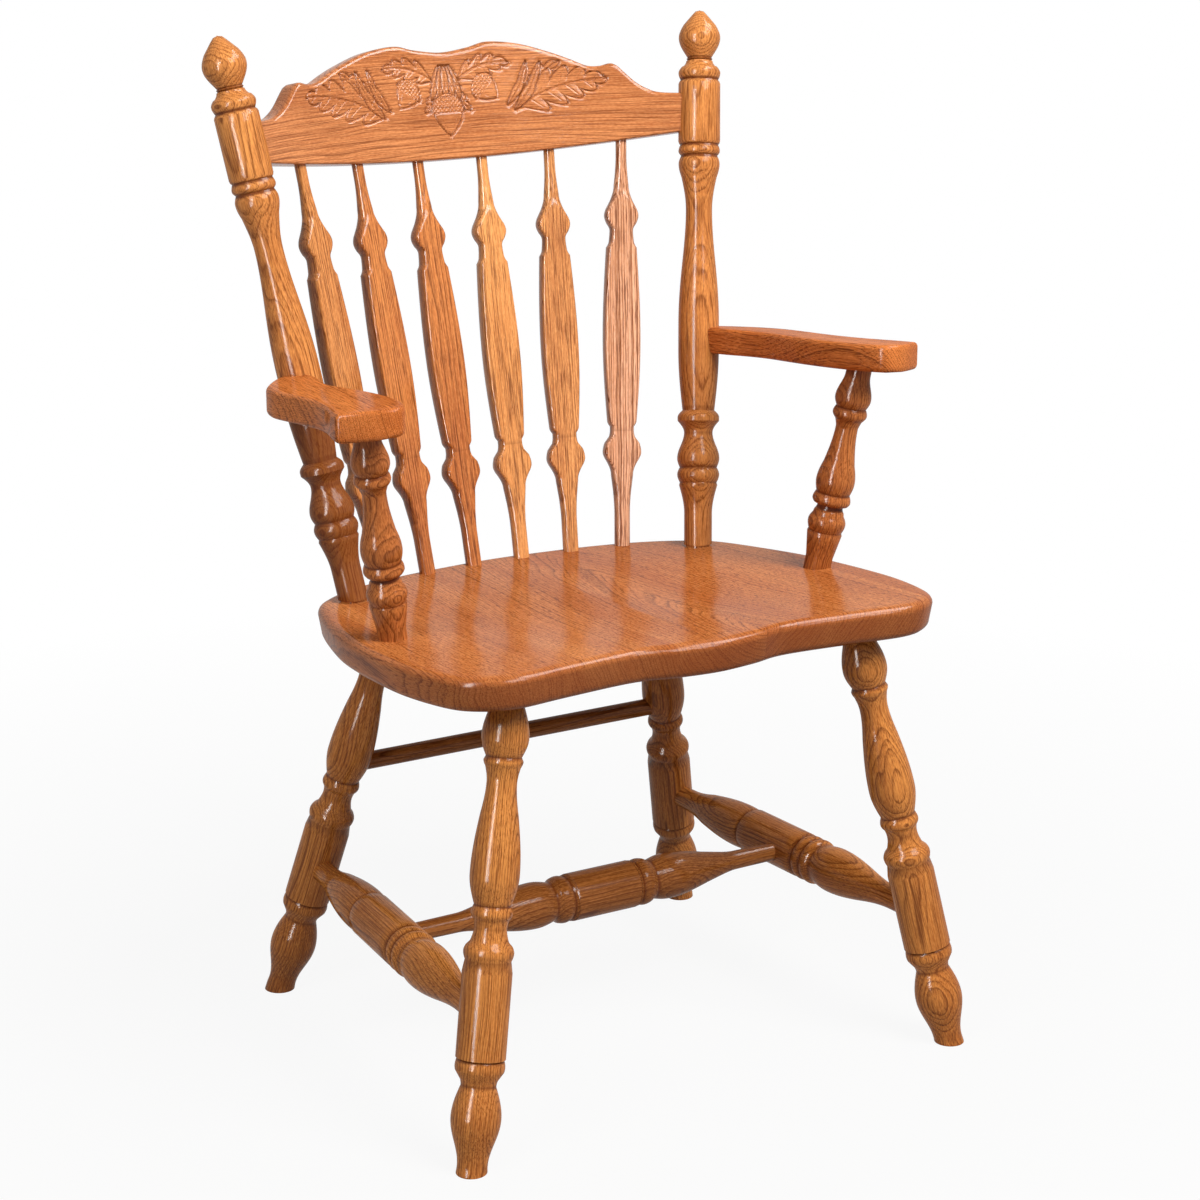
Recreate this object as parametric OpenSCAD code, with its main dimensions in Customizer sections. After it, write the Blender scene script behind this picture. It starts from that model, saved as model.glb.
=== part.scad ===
// Spindle back armchair in oak: turned legs, posts and stretchers, arrow spindles,
// a dished seat, shaped arms and a scalloped crest rail. Millimetres, +Z up, the
// chair faces -Y. The origin is on the floor below the middle of the chair.

/* [Overall] */
// Height of the finials' tips above the floor
chair_h = 1050; // [1020:1:1080]
// Radial play of every glued tenon, dowel and socket
fit = 0.1; // [0.05:0.01:0.2]

/* [Seat] */
// Height of the seat's top on the line of the back posts
seat_h = 470.5; // [455:0.5:485]
// Fall of the seat towards the back in degrees
seat_tilt = 3.55; // [2.5:0.05:4.5]
// Thickness of the seat
seat_t = 35.5; // [33:0.5:40]
// Greatest width of the seat
seat_w = 598; // [580:2:620]
// From the line of the back posts forward to the front edge
seat_front = 380; // [365:1:395]
// From the line of the back posts back to the rear edge
seat_back = 97; // [90:1:105]
// Reach of the rounding along the top edge
edge_reach = 11; // [8:0.5:14]
// Drop of the rounding along the top edge
edge_drop = 9; // [6:0.5:12]
// Undercut of the seat's edge down to the rounding below
undercut = 3; // [1:0.5:5]
// Radius of the rounding along the bottom edge
bottom_round = 9; // [5:0.5:12]
// Depth of the two dishes in the seat's top
dish_depth = 6; // [3:0.5:8]

/* [Legs] */
// From the seat's widest point in to the middle of a front foot
front_foot_inset = 8; // [4:1:12]
// How far the front feet stand ahead of the seat's front edge
front_kick = 6; // [0:1:12]
// From the seat's widest point in to the middle of a rear foot
rear_foot_inset = 34; // [28:1:40]
// How far the rear feet stand behind the line of the back posts
rear_kick = 110; // [100:1:120]
// From the seat's widest point in to a front leg's top
front_leg_inset = 93; // [86:1:98]
// From the seat's front edge back to a front leg's top
front_leg_setback = 64; // [58:1:70]
// From the seat's widest point in to a rear leg's top
rear_leg_inset = 132; // [126:1:138]
// How far a rear leg's top is behind the line of the back posts
rear_leg_back = 16; // [12:1:20]
// Length sawn off the feet of the front legs
front_trim = 6; // [3:0.5:9]
// Radius of the legs' plain drum
leg_r = 24.8; // [23:0.1:26]
// Radius of the legs' tenons
leg_tenon_r = 13; // [11:0.5:14]
// Length of the legs' tenons
leg_tenon_l = 26; // [20:1:28]

/* [Stretchers] */
// Height of the side stretchers at the front legs
stretcher_h = 147.5; // [142:0.5:154]
// How much higher the side stretchers are at the rear legs
stretcher_rise = 3; // [0:0.5:6]
// Height of the rear stretcher
rear_stretcher_h = 271; // [266:1:276]
// Radius of the side stretchers' drums
side_r = 25.2; // [24:0.1:26]
// Radius of the side stretchers' ends
side_end_r = 12.2; // [11:0.1:13]
// Radius of the cross stretcher's drum
cross_r = 25.8; // [24:0.1:27]
// Radius of the cross stretcher's ends
cross_end_r = 9.8; // [9:0.1:11]
// Radius of the rear stretcher
rear_rod_r = 9.7; // [9:0.1:11]
// Depth that the stretchers' ends enter a leg or a stretcher
stretcher_depth = 18; // [14:1:20]

/* [Back posts] */
// From the seat's widest point in to a back post's foot
post_inset = 84; // [78:1:90]
// Splay of the back posts in degrees
post_splay = 7.58; // [6.5:0.01:8.5]
// Recline of the back in degrees
recline = 12.28; // [11:0.01:13.5]
// Radius of the posts' drum that holds the crest rail
post_r = 23.4; // [22:0.1:25]
// Radius of the posts' belly that holds the arm
belly_r = 22.8; // [21.5:0.1:24]
// Radius of the posts' feet
post_foot_r = 15.6; // [15:0.1:17]
// Radius of the posts' tenons
post_tenon_r = 13.6; // [12:0.1:14.5]
// Length of the posts' tenons
post_tenon_l = 26; // [20:1:28]
// Length of the posts' plain feet
post_plain = 36; // [30:1:42]
// Gap that shows between a post's shoulder and the seat
post_gap = 2.5; // [1:0.5:4]

/* [Crest rail] */
// From the finials' tips down to the crest's lower edge at its middle
crest_drop = 152.5; // [147:0.5:158]
// Height of the crest's two peaks above its lower edge at the middle
crest_rise = 122.5; // [114:0.5:130]
// Rise of the lower edge from its middle to the posts
crest_bow = 24; // [18:1:28]
// Radius of the crest's bend in plan
crest_bend = 500; // [460:5:560]
// Thickness of the crest
crest_t = 24; // [21:0.5:27]
// Rounding along the crest's top edge
crest_round = 4.5; // [2:0.5:6]

/* [Spindles] */
// Distance between neighbouring spindles at the seat
spindle_low = 60.5; // [58:0.5:63]
// Distance between neighbouring spindles at the crest
spindle_high = 79; // [76:0.5:82]
// How far the middle of the spindles' row is behind the line of the back posts
spindle_back = 77; // [72:1:80]
// Radius of the spindles' row in plan at the seat
spindle_bend = 640; // [600:10:700]
// Thickness of the spindles between their two flats
spindle_t = 18; // [16:0.5:20]
// Greatest half width of a spindle's blade
blade_r = 21.4; // [20:0.1:23]
// Radius of a spindle's shaft at the crest
spindle_tip_r = 6.1; // [5.5:0.1:7]
// Depth that a spindle enters the seat and the crest
spindle_depth = 18; // [12:1:22]

/* [Arms] */
// Height of the arms' top above the seat's top on the line of the back posts
arm_rise = 240.5; // [234:0.5:247]
// Rise of the arms towards the front in degrees
arm_tilt = 5.34; // [4:0.02:6]
// Fall of the arms towards their outer edge in degrees
arm_cant = 3.68; // [2:0.02:5]
// Thickness of the arms
arm_t = 29; // [26:0.5:31]
// Rounding along the arms' edges
arm_round = 5.5; // [3:0.5:7]
// From the seat's widest point in to an arm post's foot
arm_post_inset = 42; // [39:1:45]
// How far an arm post's foot is ahead of the line of the back posts
arm_post_ahead = 172; // [166:1:178]
// How far an arm post leans outwards from its foot to its top
arm_post_out = 34.5; // [32:0.5:37]
// How far an arm post leans forward from its foot to its top
arm_post_forward = 21; // [18:1:24]
// Radius of the arm posts' feet
arm_post_foot_r = 14.7; // [13.5:0.1:16]
// Radius of the arm posts' tenons in the arms
arm_tenon_r = 9; // [8:0.5:10]
// Length of the arm posts' tenons in the arms
arm_tenon_l = 16; // [12:1:18]

/* [Dowels] */
// Radius of the dowels that hold the crest and the arms
dowel_r = 4.75; // [4:0.25:5.5]
// Depth of the dowels in the crest and in the arms
dowel_depth = 18; // [12:1:20]
// Distance between the two dowels at one end of the crest
dowel_gap = 19; // [16:1:22]

/* [Hidden] */
$fn = 48;
oak = "#b8743a";
dark_oak = "#a4622f";
light_oak = "#cf8f4e";
beech = "#d9b98c";
// Larger than the chair, for the level and sloping cuts
big = 1500;
// Extra length of a cutting tool past a face
over = 1;
// Length over which a tenon runs on inside its own piece, and a tool starts outside one
lap = 20;

// Forms of the runs of a turned outline: straight, S-shaped, and the two quarter waves
LINE = 0;
WAVE = 1;
// Starts steep and ends level
TO_LEVEL = 2;
// Starts level and ends steep
FROM_LEVEL = 3;

function share(form, t) =
    form == WAVE ? (1 - cos(180 * t)) / 2 :
    form == TO_LEVEL ? sin(90 * t) :
    form == FROM_LEVEL ? 1 - cos(90 * t) : t;
function run_steps(a, b) = b[2] == LINE ? 1 : max(3, min(8, ceil((b[0] - a[0]) / 7)));
// Points of one run between the stations a and b, each [distance, radius, form]
function run(a, b) = let (n = run_steps(a, b)) [
    for (i = [1:n]) [a[1] + (b[1] - a[1]) * share(b[2], i / n), a[0] + (b[0] - a[0]) * i / n]
];
// Closed half section of a turned piece
function turned_section(st) = [
    [0, st[0][0]],
    [st[0][1], st[0][0]],
    for (i = [1:len(st) - 1]) each run(st[i - 1], st[i]),
    if (st[len(st) - 1][1] > 0) [0, st[len(st) - 1][0]]
];
// Stations counted down from the piece's far end, turned into distances from its start
function from_end(length, st) = [for (s = st) [length - s[0], s[1], s[2]]];
// The other half of a piece that is the same to both sides of its middle
function mirrored(st) = [
    for (i = [len(st) - 1:-1:1]) [-st[i][0], st[i][1], i == len(st) - 1 ? LINE : other_way(st[i + 1][2])],
    for (i = [0:len(st) - 1]) [st[i][0], st[i][1], i == 0 ? other_way(st[1][2]) : st[i][2]]
];
function other_way(form) = form == TO_LEVEL ? FROM_LEVEL : form == FROM_LEVEL ? TO_LEVEL : form;

// Curve through points
function spline_point(a, b, c, d, t) =
    (2 * b + (c - a) * t + (2 * a - 5 * b + 4 * c - d) * pow(t, 2) + (3 * b - a - 3 * c + d) * pow(t, 3)) / 2;
function closed_curve(p, n) = let (m = len(p)) [
    for (i = [0:m - 1], j = [0:n - 1])
        spline_point(p[(i + m - 1) % m], p[i], p[(i + 1) % m], p[(i + 2) % m], j / n)
];
function open_curve(p, n) = let (m = len(p)) [
    for (i = [0:m - 2], j = [0:n - 1])
        spline_point(p[max(i - 1, 0)], p[i], p[i + 1], p[min(i + 2, m - 1)], j / n),
    p[m - 1]
];
// Outline moved in by d; the points run anticlockwise
function inset(p, d) = let (m = len(p)) [
    for (i = [0:m - 1]) let (t = p[(i + 1) % m] - p[(i + m - 1) % m]) p[i] + d * [-t[1], t[0]] / norm(t)
];
function middle(p) = [for (k = [0:2]) sum([for (q = p) q[k]]) / len(p)];
function sum(v, i = 0) = i < len(v) ? v[i] + sum(v, i + 1) : 0;

// Seat surfaces and the places that hang on them
function seat_z(y) = seat_h - y * tan(seat_tilt);
function under_z(y) = seat_z(y) - seat_t / cos(seat_tilt);
function on_seat(x, y) = [x, y, seat_z(y)];
function under_seat(x, y) = [x, y, under_z(y)];
half_w = seat_w / 2;
front_foot = [half_w - front_foot_inset, -seat_front - front_kick, 0];
front_top = under_seat(half_w - front_leg_inset, front_leg_setback - seat_front);
rear_foot = [half_w - rear_foot_inset, rear_kick, 0];
rear_top = under_seat(half_w - rear_leg_inset, rear_leg_back);
function along(a, b, z) = a + (b - a) * (z - a[2]) / (b[2] - a[2]);

// Back post: its axis, and the point of it at a height
post_foot = on_seat(half_w - post_inset, 0);
function post_at(z) = post_foot + (z - post_foot[2]) * [tan(post_splay), tan(recline), 1];
post_tip = post_at(chair_h);
post_l = norm(post_tip - post_foot);

// Crest rail: an arc in plan through both posts that leans with the back
crest_z = chair_h - crest_drop;
crest_end = post_at(crest_z + crest_bow + crest_rise / 6);
crest_y = crest_end[1] - sqrt(pow(crest_bend, 2) - pow(crest_end[0], 2));
function crest_point(x, v, z) = let (a = asin(x / crest_bend))
    [(crest_bend + v) * sin(a), crest_y + (crest_bend + v) * cos(a) + (z - crest_end[2]) * tan(recline), z];
function crest_low(x) = crest_z + crest_bow * pow(x / crest_end[0], 2);
// Half of the scalloped top: share of the half length and share of the rise
crest_scallop = [[0, 0.925], [0.122, 0.958], [0.209, 1], [0.339, 0.971], [0.462, 0.891],
    [0.541, 0.824], [0.606, 0.763], [0.655, 0.758], [0.692, 0.778], [0.718, 0.766],
    [0.747, 0.699], [0.783, 0.615], [0.823, 0.556], [0.877, 0.519], [1.02, 0.515]];
crest_steps = 3;

// Arm post and the arm's planes
arm_post_foot = on_seat(half_w - arm_post_inset, -arm_post_ahead);
arm_post_xy = [arm_post_foot[0] + arm_post_out, arm_post_foot[1] - arm_post_forward];
arm_normal = [tan(arm_cant), tan(arm_tilt), 1];
function arm_top_z(x, y) = seat_h + arm_rise - (x - arm_post_xy[0]) * arm_normal[0] - y * arm_normal[1];
function arm_under_z(x, y) = arm_top_z(x, y) - arm_t * norm(arm_normal);
arm_post_top = [arm_post_xy[0], arm_post_xy[1], arm_under_z(arm_post_xy[0], arm_post_xy[1])];
arm_post_l = norm(arm_post_top - arm_post_foot);
arm_on_post = post_at(seat_h + arm_rise - arm_t / 2);
arm_dist = norm(arm_on_post - post_foot);
// The arm from its front end to its back: share of the way from the arm post to the back
// post, and the distances of the inner and the outer edge out from that line
arm_plan = [[-0.255, -15.5, -10.5], [-0.25, -19.5, -3], [-0.24, -22, 4], [-0.22, -25, 14.5],
    [-0.19, -27.5, 27], [-0.165, -28.5, 36.5], [-0.152, -29, 41], [-0.14, -29.5, 42.5], [-0.12, -30, 42.5],
    [-0.06, -30.5, 41.5], [0.02, -30, 39], [0.12, -27.5, 36.5], [0.25, -22, 37.5], [0.4, -13.5, 43],
    [0.55, -5, 50.5], [0.68, -3, 55.5], [0.8, -6.5, 53], [0.88, -6.5, 45], [0.95, -4, 34.5], [1, 0, 21]];
arm_dowel_way = [0.45, -0.89, 0];
// How much deeper a dowel goes into an arm's hollowed end than into a post
arm_dowel_more = 4;

// The chair's middle from front to back, where the origin lies
foot_bulb_z = 51;
front_reach = -along(front_foot, front_top, foot_bulb_z)[1] + leg_r;
back_reach = crest_point(0, crest_t / 2, crest_z + 0.925 * crest_rise - crest_round)[1];
middle_y = (back_reach - front_reach) / 2;

// Draws a piece that stands up from the origin so that it starts at a and points to b.
// face is the compass angle that its +X side turns to.
module between(a, b, face = 0) {
    d = b - a;
    az = atan2(d[1], d[0]);
    translate(a) rotate([0, acos(d[2] / norm(d)), az]) rotate([0, 0, face - az]) children();
}
module rod(a, b, r, before = 0, after = 0) {
    between(a, b) translate([0, 0, -before]) cylinder(r = r, h = norm(b - a) + before + after);
}
module turned(st) {
    rotate_extrude() polygon(turned_section(st));
}
module placed() {
    translate([0, -middle_y, 0]) children();
}
// Skin over a row of rings with the same count of points. Seen from the last ring's
// side each ring runs anticlockwise. Both ends are closed by a fan to their middle.
module loft(rings) {
    m = len(rings[0]);
    n = len(rings);
    points = [for (r = rings) each r, middle(rings[0]), middle(rings[n - 1])];
    walls = [
        for (k = [0:n - 2], i = [0:m - 1]) let (a = k * m + i, b = k * m + (i + 1) % m) each
            [[a, a + m, b], [b, a + m, b + m]]
    ];
    first = [for (i = [0:m - 1]) [n * m, i, (i + 1) % m]];
    last = [for (i = [0:m - 1]) [n * m + 1, (n - 1) * m + (i + 1) % m, (n - 1) * m + i]];
    polyhedron(points, concat(walls, first, last));
}
module both_sides() {
    children();
    mirror([1, 0, 0]) children();
}
module above_plane(z, tilt) {
    translate([0, 0, z]) rotate([-tilt, 0, 0]) translate([-big / 2, -big / 2, 0]) cube(big);
}
module below_plane(z, tilt) {
    translate([0, 0, z]) rotate([-tilt, 0, 0]) translate([-big / 2, -big / 2, -big]) cube(big);
}

// Seat
// Half of the outline: share of the half width, and share of the way to the rear or front edge
seat_plan = [[0, 1], [0.22, 0.95], [0.43, 0.85], [0.62, 0.66], [0.765, 0.38], [0.85, 0.06],
    [0.93, -0.176], [0.978, -0.35], [1, -0.58], [0.993, -0.737], [0.95, -0.89], [0.866, -0.966],
    [0.753, -0.995], [0.55, -0.975], [0.3, -0.957], [0.157, -0.984], [0, -1]];
function seat_place(p) = [p[0] * half_w, p[1] * (p[1] > 0 ? seat_back : seat_front)];
seat_knots = [
    for (i = [len(seat_plan) - 1:-1:0]) seat_place(seat_plan[i]),
    for (i = [1:len(seat_plan) - 2]) let (p = seat_place(seat_plan[i])) [-p[0], p[1]]
];
seat_outline = closed_curve(seat_knots, 3);
seat_middle = [0, -0.4 * seat_front];
top_rings = [0.02, 0.3, 0.52, 0.7, 0.86];
function bump(d, w) = abs(d) < w ? (1 + cos(180 * d / w)) / 2 : 0;
function dish(x, y) =
    dish_depth * bump(abs(x) - half_w / 3, half_w / 2) * bump(y + seat_front / 2, seat_front / 2);
// The edge from the bottom up: [how far in, how far below the top]
seat_edge = [
    for (a = [0:30:90]) [undercut + bottom_round * (1 - sin(a)), seat_t - bottom_round * (1 - cos(a))],
    for (a = [0:30:90]) [edge_reach * (1 - cos(a)), edge_drop * (1 - sin(a))]
];
function seat_ring(e) = [
    for (p = inset(seat_outline, e[0])) [p[0], p[1], seat_z(p[1]) - e[1] / cos(seat_tilt)]
];
function dished_ring(k) = [
    for (p = inset(seat_outline, edge_reach))
        let (q = seat_middle + k * (p - seat_middle)) [q[0], q[1], seat_z(q[1]) - dish(q[0], q[1])]
];
module seat_blank() {
    loft([
        for (e = seat_edge) seat_ring(e),
        for (i = [len(top_rings) - 1:-1:0]) dished_ring(top_rings[i])
    ]);
}
module seat() {
    color(oak) placed() difference() {
        seat_blank();
        both_sides() {
            leg_socket(front_foot, front_top);
            leg_socket(rear_foot, rear_top);
            seat_socket(post_foot, post_tip, post_tenon_r, post_tenon_l);
            seat_socket(arm_post_foot, arm_post_top, arm_post_foot_r, spindle_depth);
            for (i = [3:5]) seat_socket(spindle_foot(i), spindle_top(i), spindle_t / 2, spindle_depth);
        }
    }
}
module leg_socket(foot, top) {
    rod(foot, top, leg_tenon_r + fit, lap - norm(top - foot), leg_tenon_l + fit);
}
module seat_socket(a, b, r, depth) {
    rod(a, a + lap * (b - a) / norm(b - a), r + fit, depth + fit);
}

// Legs: the foot and the drum are counted from the floor, the rest from the seat
module leg(foot, top, trim) {
    full = norm(front_top - front_foot) + front_trim;
    length = norm(top - foot);
    drum = stretcher_h * norm(front_top - front_foot) / front_top[2] + front_trim;
    low = [
        [-10, leg_r - 8.7, LINE], [2, leg_r - 9, LINE], [12, leg_r - 9.7, WAVE], [59, leg_r + 0.1, WAVE],
        [91, leg_r - 7.3, FROM_LEVEL], [97, leg_r - 6.3, FROM_LEVEL], [106, leg_r - 0.6, LINE],
        [110, leg_r, TO_LEVEL], [116, leg_r - 0.9, FROM_LEVEL], [118, leg_r - 2.4, LINE],
        [drum - 39, leg_r, LINE], [drum + 45, leg_r, LINE]
    ];
    high = [
        [259, leg_r - 2, LINE], [251, leg_r + 0.1, TO_LEVEL], [245, leg_r - 1.9, FROM_LEVEL],
        [241, leg_r - 5.7, LINE], [227, leg_r - 8.7, TO_LEVEL], [219, leg_r - 7.4, FROM_LEVEL],
        [213, leg_r - 4.4, TO_LEVEL], [205, leg_r - 6.7, FROM_LEVEL], [175, leg_r - 0.4, TO_LEVEL],
        [117, leg_r - 6, FROM_LEVEL], [85, leg_r - 9.9, TO_LEVEL], [77, leg_r - 9.1, FROM_LEVEL],
        [70, leg_r - 7.4, LINE], [64, leg_r - 5.3, TO_LEVEL], [60, leg_r - 7.2, LINE],
        [41, leg_r - 1.5, TO_LEVEL], [13, leg_r - 7.5, FROM_LEVEL], [0, leg_tenon_r + 0.8, TO_LEVEL]
    ];
    intersection() {
        union() {
            intersection() {
                between(foot, top) translate([0, 0, -trim]) turned(concat(low, from_end(full, high)));
                below_plane(seat_h - seat_t / cos(seat_tilt), seat_tilt);
            }
            rod(foot, top, leg_tenon_r, lap - length, leg_tenon_l);
        }
        above_plane(0, 0);
    }
}
side_front = along(front_foot, front_top, stretcher_h);
side_rear = along(rear_foot, rear_top, stretcher_h + stretcher_rise);
module front_leg() {
    color(dark_oak) placed() difference() {
        leg(front_foot, front_top, front_trim);
        stretcher_hole(side_front, side_rear, leg_r, side_end_r);
    }
}
module rear_leg() {
    color(oak) placed() difference() {
        leg(rear_foot, rear_top, 0);
        stretcher_hole(side_rear, side_front, leg_r, side_end_r);
        stretcher_hole(rear_rod_end, mirror_x(rear_rod_end), leg_r, rear_rod_r);
    }
}
module front_leg_left() {
    mirror([1, 0, 0]) front_leg();
}
module front_leg_right() {
    front_leg();
}
module rear_leg_left() {
    mirror([1, 0, 0]) rear_leg();
}
module rear_leg_right() {
    rear_leg();
}

// Stretchers
function mirror_x(p) = [-p[0], p[1], p[2]];
rear_rod_end = along(rear_foot, rear_top, rear_stretcher_h);
// Hole in a round piece of radius host_r on the axis point a, towards b
module stretcher_hole(a, b, host_r, r) {
    u = (b - a) / norm(b - a);
    rod(a + u * (host_r - stretcher_depth), a + u * (host_r + lap), r + fit);
}
module side_stretcher() {
    length = norm(side_rear - side_front);
    first = leg_r - stretcher_depth + fit;
    low = [
        [first, side_end_r, LINE], [40, side_end_r, LINE], [95, side_r - 5.3, FROM_LEVEL],
        [138, side_r - 0.1, TO_LEVEL], [160, side_r - 3.4, FROM_LEVEL], [163, side_r - 2.4, LINE],
        [169, side_r + 0.2, TO_LEVEL], [176, side_r - 2, FROM_LEVEL], [183, side_r + 0.2, TO_LEVEL],
        [190, side_r - 2, FROM_LEVEL], [194, side_r, LINE]
    ];
    high = [
        [length - 284, side_r, LINE], [length - 288, side_r - 2.2, LINE], [length - 291, side_r - 1.2, LINE],
        [length - 305, side_r - 0.4, TO_LEVEL], [length - 365, side_r - 6.7, FROM_LEVEL],
        [length - 402, side_end_r + 0.5, TO_LEVEL], [first, side_end_r, LINE]
    ];
    color(dark_oak) placed() difference() {
        between(side_front, side_rear) turned(concat(low, from_end(length, high)));
        stretcher_hole(cross_end, mirror_x(cross_end), side_r, cross_end_r);
    }
}
module side_stretcher_left() {
    mirror([1, 0, 0]) side_stretcher();
}
module side_stretcher_right() {
    side_stretcher();
}
cross_end = (side_front + side_rear) / 2;
module cross_stretcher() {
    reach = cross_end[0] - side_r + stretcher_depth - fit;
    half = [
        [0, cross_r, LINE], [38, cross_r, LINE], [39.5, cross_r - 1.4, LINE], [41, cross_r - 0.6, LINE],
        [43, cross_r - 2, LINE], [50, cross_r - 0.2, TO_LEVEL], [57, cross_r - 1.6, FROM_LEVEL],
        [63, cross_r - 4.5, TO_LEVEL], [83, cross_r - 0.9, TO_LEVEL], [133, cross_r - 8.5, FROM_LEVEL],
        [153, cross_r - 12.6, LINE], [176, cross_end_r + 0.5, TO_LEVEL], [reach, cross_end_r, LINE]
    ];
    color(oak) placed() translate([0, cross_end[1], cross_end[2]]) rotate([0, 90, 0]) turned(mirrored(half));
}
module rear_stretcher() {
    reach = rear_rod_end[0] - leg_r + stretcher_depth - fit;
    color(dark_oak) placed() translate([-reach, rear_rod_end[1], rear_rod_end[2]])
        rotate([0, 90, 0]) cylinder(r = rear_rod_r, h = 2 * reach);
}

// Back posts: counted from the seat up to the belly, and from the finial's tip down to it
module back_post() {
    low = [
        [-10, post_foot_r, LINE], [post_plain, post_foot_r, LINE], [68, post_r - 1.9, FROM_LEVEL],
        [71, post_r - 2.7, LINE], [80, post_r + 0.2, TO_LEVEL], [88, post_r - 2.6, FROM_LEVEL],
        [98, post_r + 0.3, TO_LEVEL], [114, post_r - 4.2, FROM_LEVEL], [127, post_r - 7.4, TO_LEVEL],
        [140, post_r - 0.1, FROM_LEVEL], [144, post_r, LINE], [152, post_r - 5.5, FROM_LEVEL],
        [arm_dist - 14, belly_r, TO_LEVEL], [arm_dist + 16, belly_r, LINE]
    ];
    high = [
        [270, post_r - 5.9, FROM_LEVEL], [222, post_r - 8.7, TO_LEVEL], [186, post_r - 3.7, FROM_LEVEL],
        [171, post_r - 0.4, TO_LEVEL], [162, post_r - 3.2, FROM_LEVEL], [157, post_r - 0.2, TO_LEVEL],
        [150, post_r - 2.2, FROM_LEVEL], [146, post_r, LINE], [82, post_r, LINE], [78, post_r - 2.5, LINE],
        [70, post_r, TO_LEVEL], [62, post_r - 4.8, FROM_LEVEL], [54, post_r - 10.3, TO_LEVEL],
        [52, post_r - 10.3, LINE], [50.5, post_r - 6.7, LINE], [31, post_r - 0.2, TO_LEVEL],
        [14, post_r - 7.3, FROM_LEVEL], [3, post_r - 15.4, LINE], [0, 0, TO_LEVEL]
    ];
    color(oak) placed() difference() {
        union() {
            intersection() {
                between(post_foot, post_tip) turned(concat(low, from_end(post_l, high)));
                above_plane(seat_h + post_gap, seat_tilt);
            }
            rod(post_foot, post_tip, post_tenon_r, post_tenon_l, lap - post_l);
        }
        for (side = [-1, 1]) crest_dowel(side, dowel_r + fit);
        arm_dowel(dowel_r + fit);
    }
}
module back_post_left() {
    mirror([1, 0, 0]) back_post();
}
module back_post_right() {
    back_post();
}

// Crest rail
crest_half = open_curve(crest_scallop, crest_steps);
crest_line = [
    for (i = [len(crest_half) - 1:-1:1]) [-crest_half[i][0], crest_half[i][1]],
    for (p = crest_half) p
];
// Section across the rail: distance behind its middle, and height
function crest_section(x, top) = let (
    low = crest_low(x), h = crest_t / 2, r = crest_round, c = crest_round * 0.3, f = crest_round * 0.6
) [
    [-h + f, low], [h - f, low], [h, low + f], [h, top - r], [h - c, top - c],
    [h - r, top], [-h + r, top], [-h + c, top - c], [-h, top - r], [-h, low + f]
];
module crest_blank() {
    loft([
        for (s = crest_line) let (x = s[0] * crest_end[0], top = crest_z + s[1] * crest_rise)
            [for (q = crest_section(x, top)) crest_point(x, q[0], q[1])]
    ]);
}
module crest_rail() {
    color(light_oak) placed() difference() {
        crest_blank();
        both_sides() {
            rod(post_at(crest_z - lap), post_at(crest_z + crest_rise + lap), post_r + fit);
            for (side = [-1, 1]) crest_dowel(side, dowel_r + fit);
        }
        for (i = [0:5]) rod(
            spindle_top(i),
            spindle_top(i) + spindle_depth * spindle_way(i),
            spindle_tip_r + fit, lap, fit);
    }
}
// One dowel at the right end of the crest; side is -1 for the lower one
module crest_dowel(side, r) {
    axis = post_at(crest_end[2] + side * dowel_gap / 2);
    a = asin(crest_end[0] / crest_bend);
    way = [-cos(a), sin(a), 0];
    rod(axis + way * (post_r - dowel_depth), axis + way * (post_r + dowel_depth), r);
}
module crest_dowels() {
    color(beech) placed() both_sides() for (side = [-1, 1]) crest_dowel(side, dowel_r);
}

// Arrow spindles, counted from the seat; the last run reaches the crest
function spindle_foot(i) = let (x = (i - 2.5) * spindle_low)
    on_seat(x, spindle_back - spindle_bend + sqrt(pow(spindle_bend, 2) - pow(x, 2)));
function spindle_top(i) = let (x = (i - 2.5) * spindle_high) crest_point(x, 0, crest_low(x));
function spindle_way(i) = (spindle_top(i) - spindle_foot(i)) / norm(spindle_top(i) - spindle_foot(i));
module spindle(i, tone) {
    foot = spindle_foot(i);
    top = spindle_top(i);
    length = norm(top - foot);
    shaft = spindle_t / 2;
    facing = 90 - (asin(foot[0] / spindle_bend) + asin(top[0] / crest_bend)) / 2;
    k = length / 445;
    st = [
        [-spindle_depth, shaft, LINE], [34, shaft, LINE], [60, shaft + 1.4, FROM_LEVEL],
        [78, shaft + 3.7, LINE], [96, blade_r - 1.7, FROM_LEVEL], [103, blade_r + 0.5, TO_LEVEL],
        [113, blade_r - 1.4, FROM_LEVEL], [120, blade_r - 6.6, LINE], [127, blade_r - 7.8, TO_LEVEL],
        [131, blade_r - 7.8, LINE], [138, blade_r - 4.6, TO_LEVEL], [228, blade_r, TO_LEVEL],
        [328, blade_r - 4, FROM_LEVEL], [336, blade_r - 7.3, TO_LEVEL], [347, blade_r - 8.1, TO_LEVEL],
        [354, blade_r - 4.8, FROM_LEVEL], [363, blade_r - 2, TO_LEVEL], [370, blade_r - 3.6, FROM_LEVEL],
        [379, blade_r - 8.4, LINE], [396, spindle_tip_r + 2.4, TO_LEVEL], [430, spindle_tip_r, TO_LEVEL]
    ];
    color(tone) placed() between(foot, top, facing) intersection() {
        turned(concat([for (s = st) s[0] > 0 ? [s[0] * k, s[1], s[2]] : s],
            [[length + spindle_depth, spindle_tip_r, LINE]]));
        translate([-shaft, -blade_r - lap, -spindle_depth - over])
            cube([spindle_t, 2 * blade_r + 2 * lap, length + 2 * spindle_depth + 2 * over]);
    }
}
module spindle_1() {
    spindle(0, light_oak);
}
module spindle_2() {
    spindle(1, oak);
}
module spindle_3() {
    spindle(2, oak);
}
module spindle_4() {
    spindle(3, light_oak);
}
module spindle_5() {
    spindle(4, oak);
}
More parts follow.
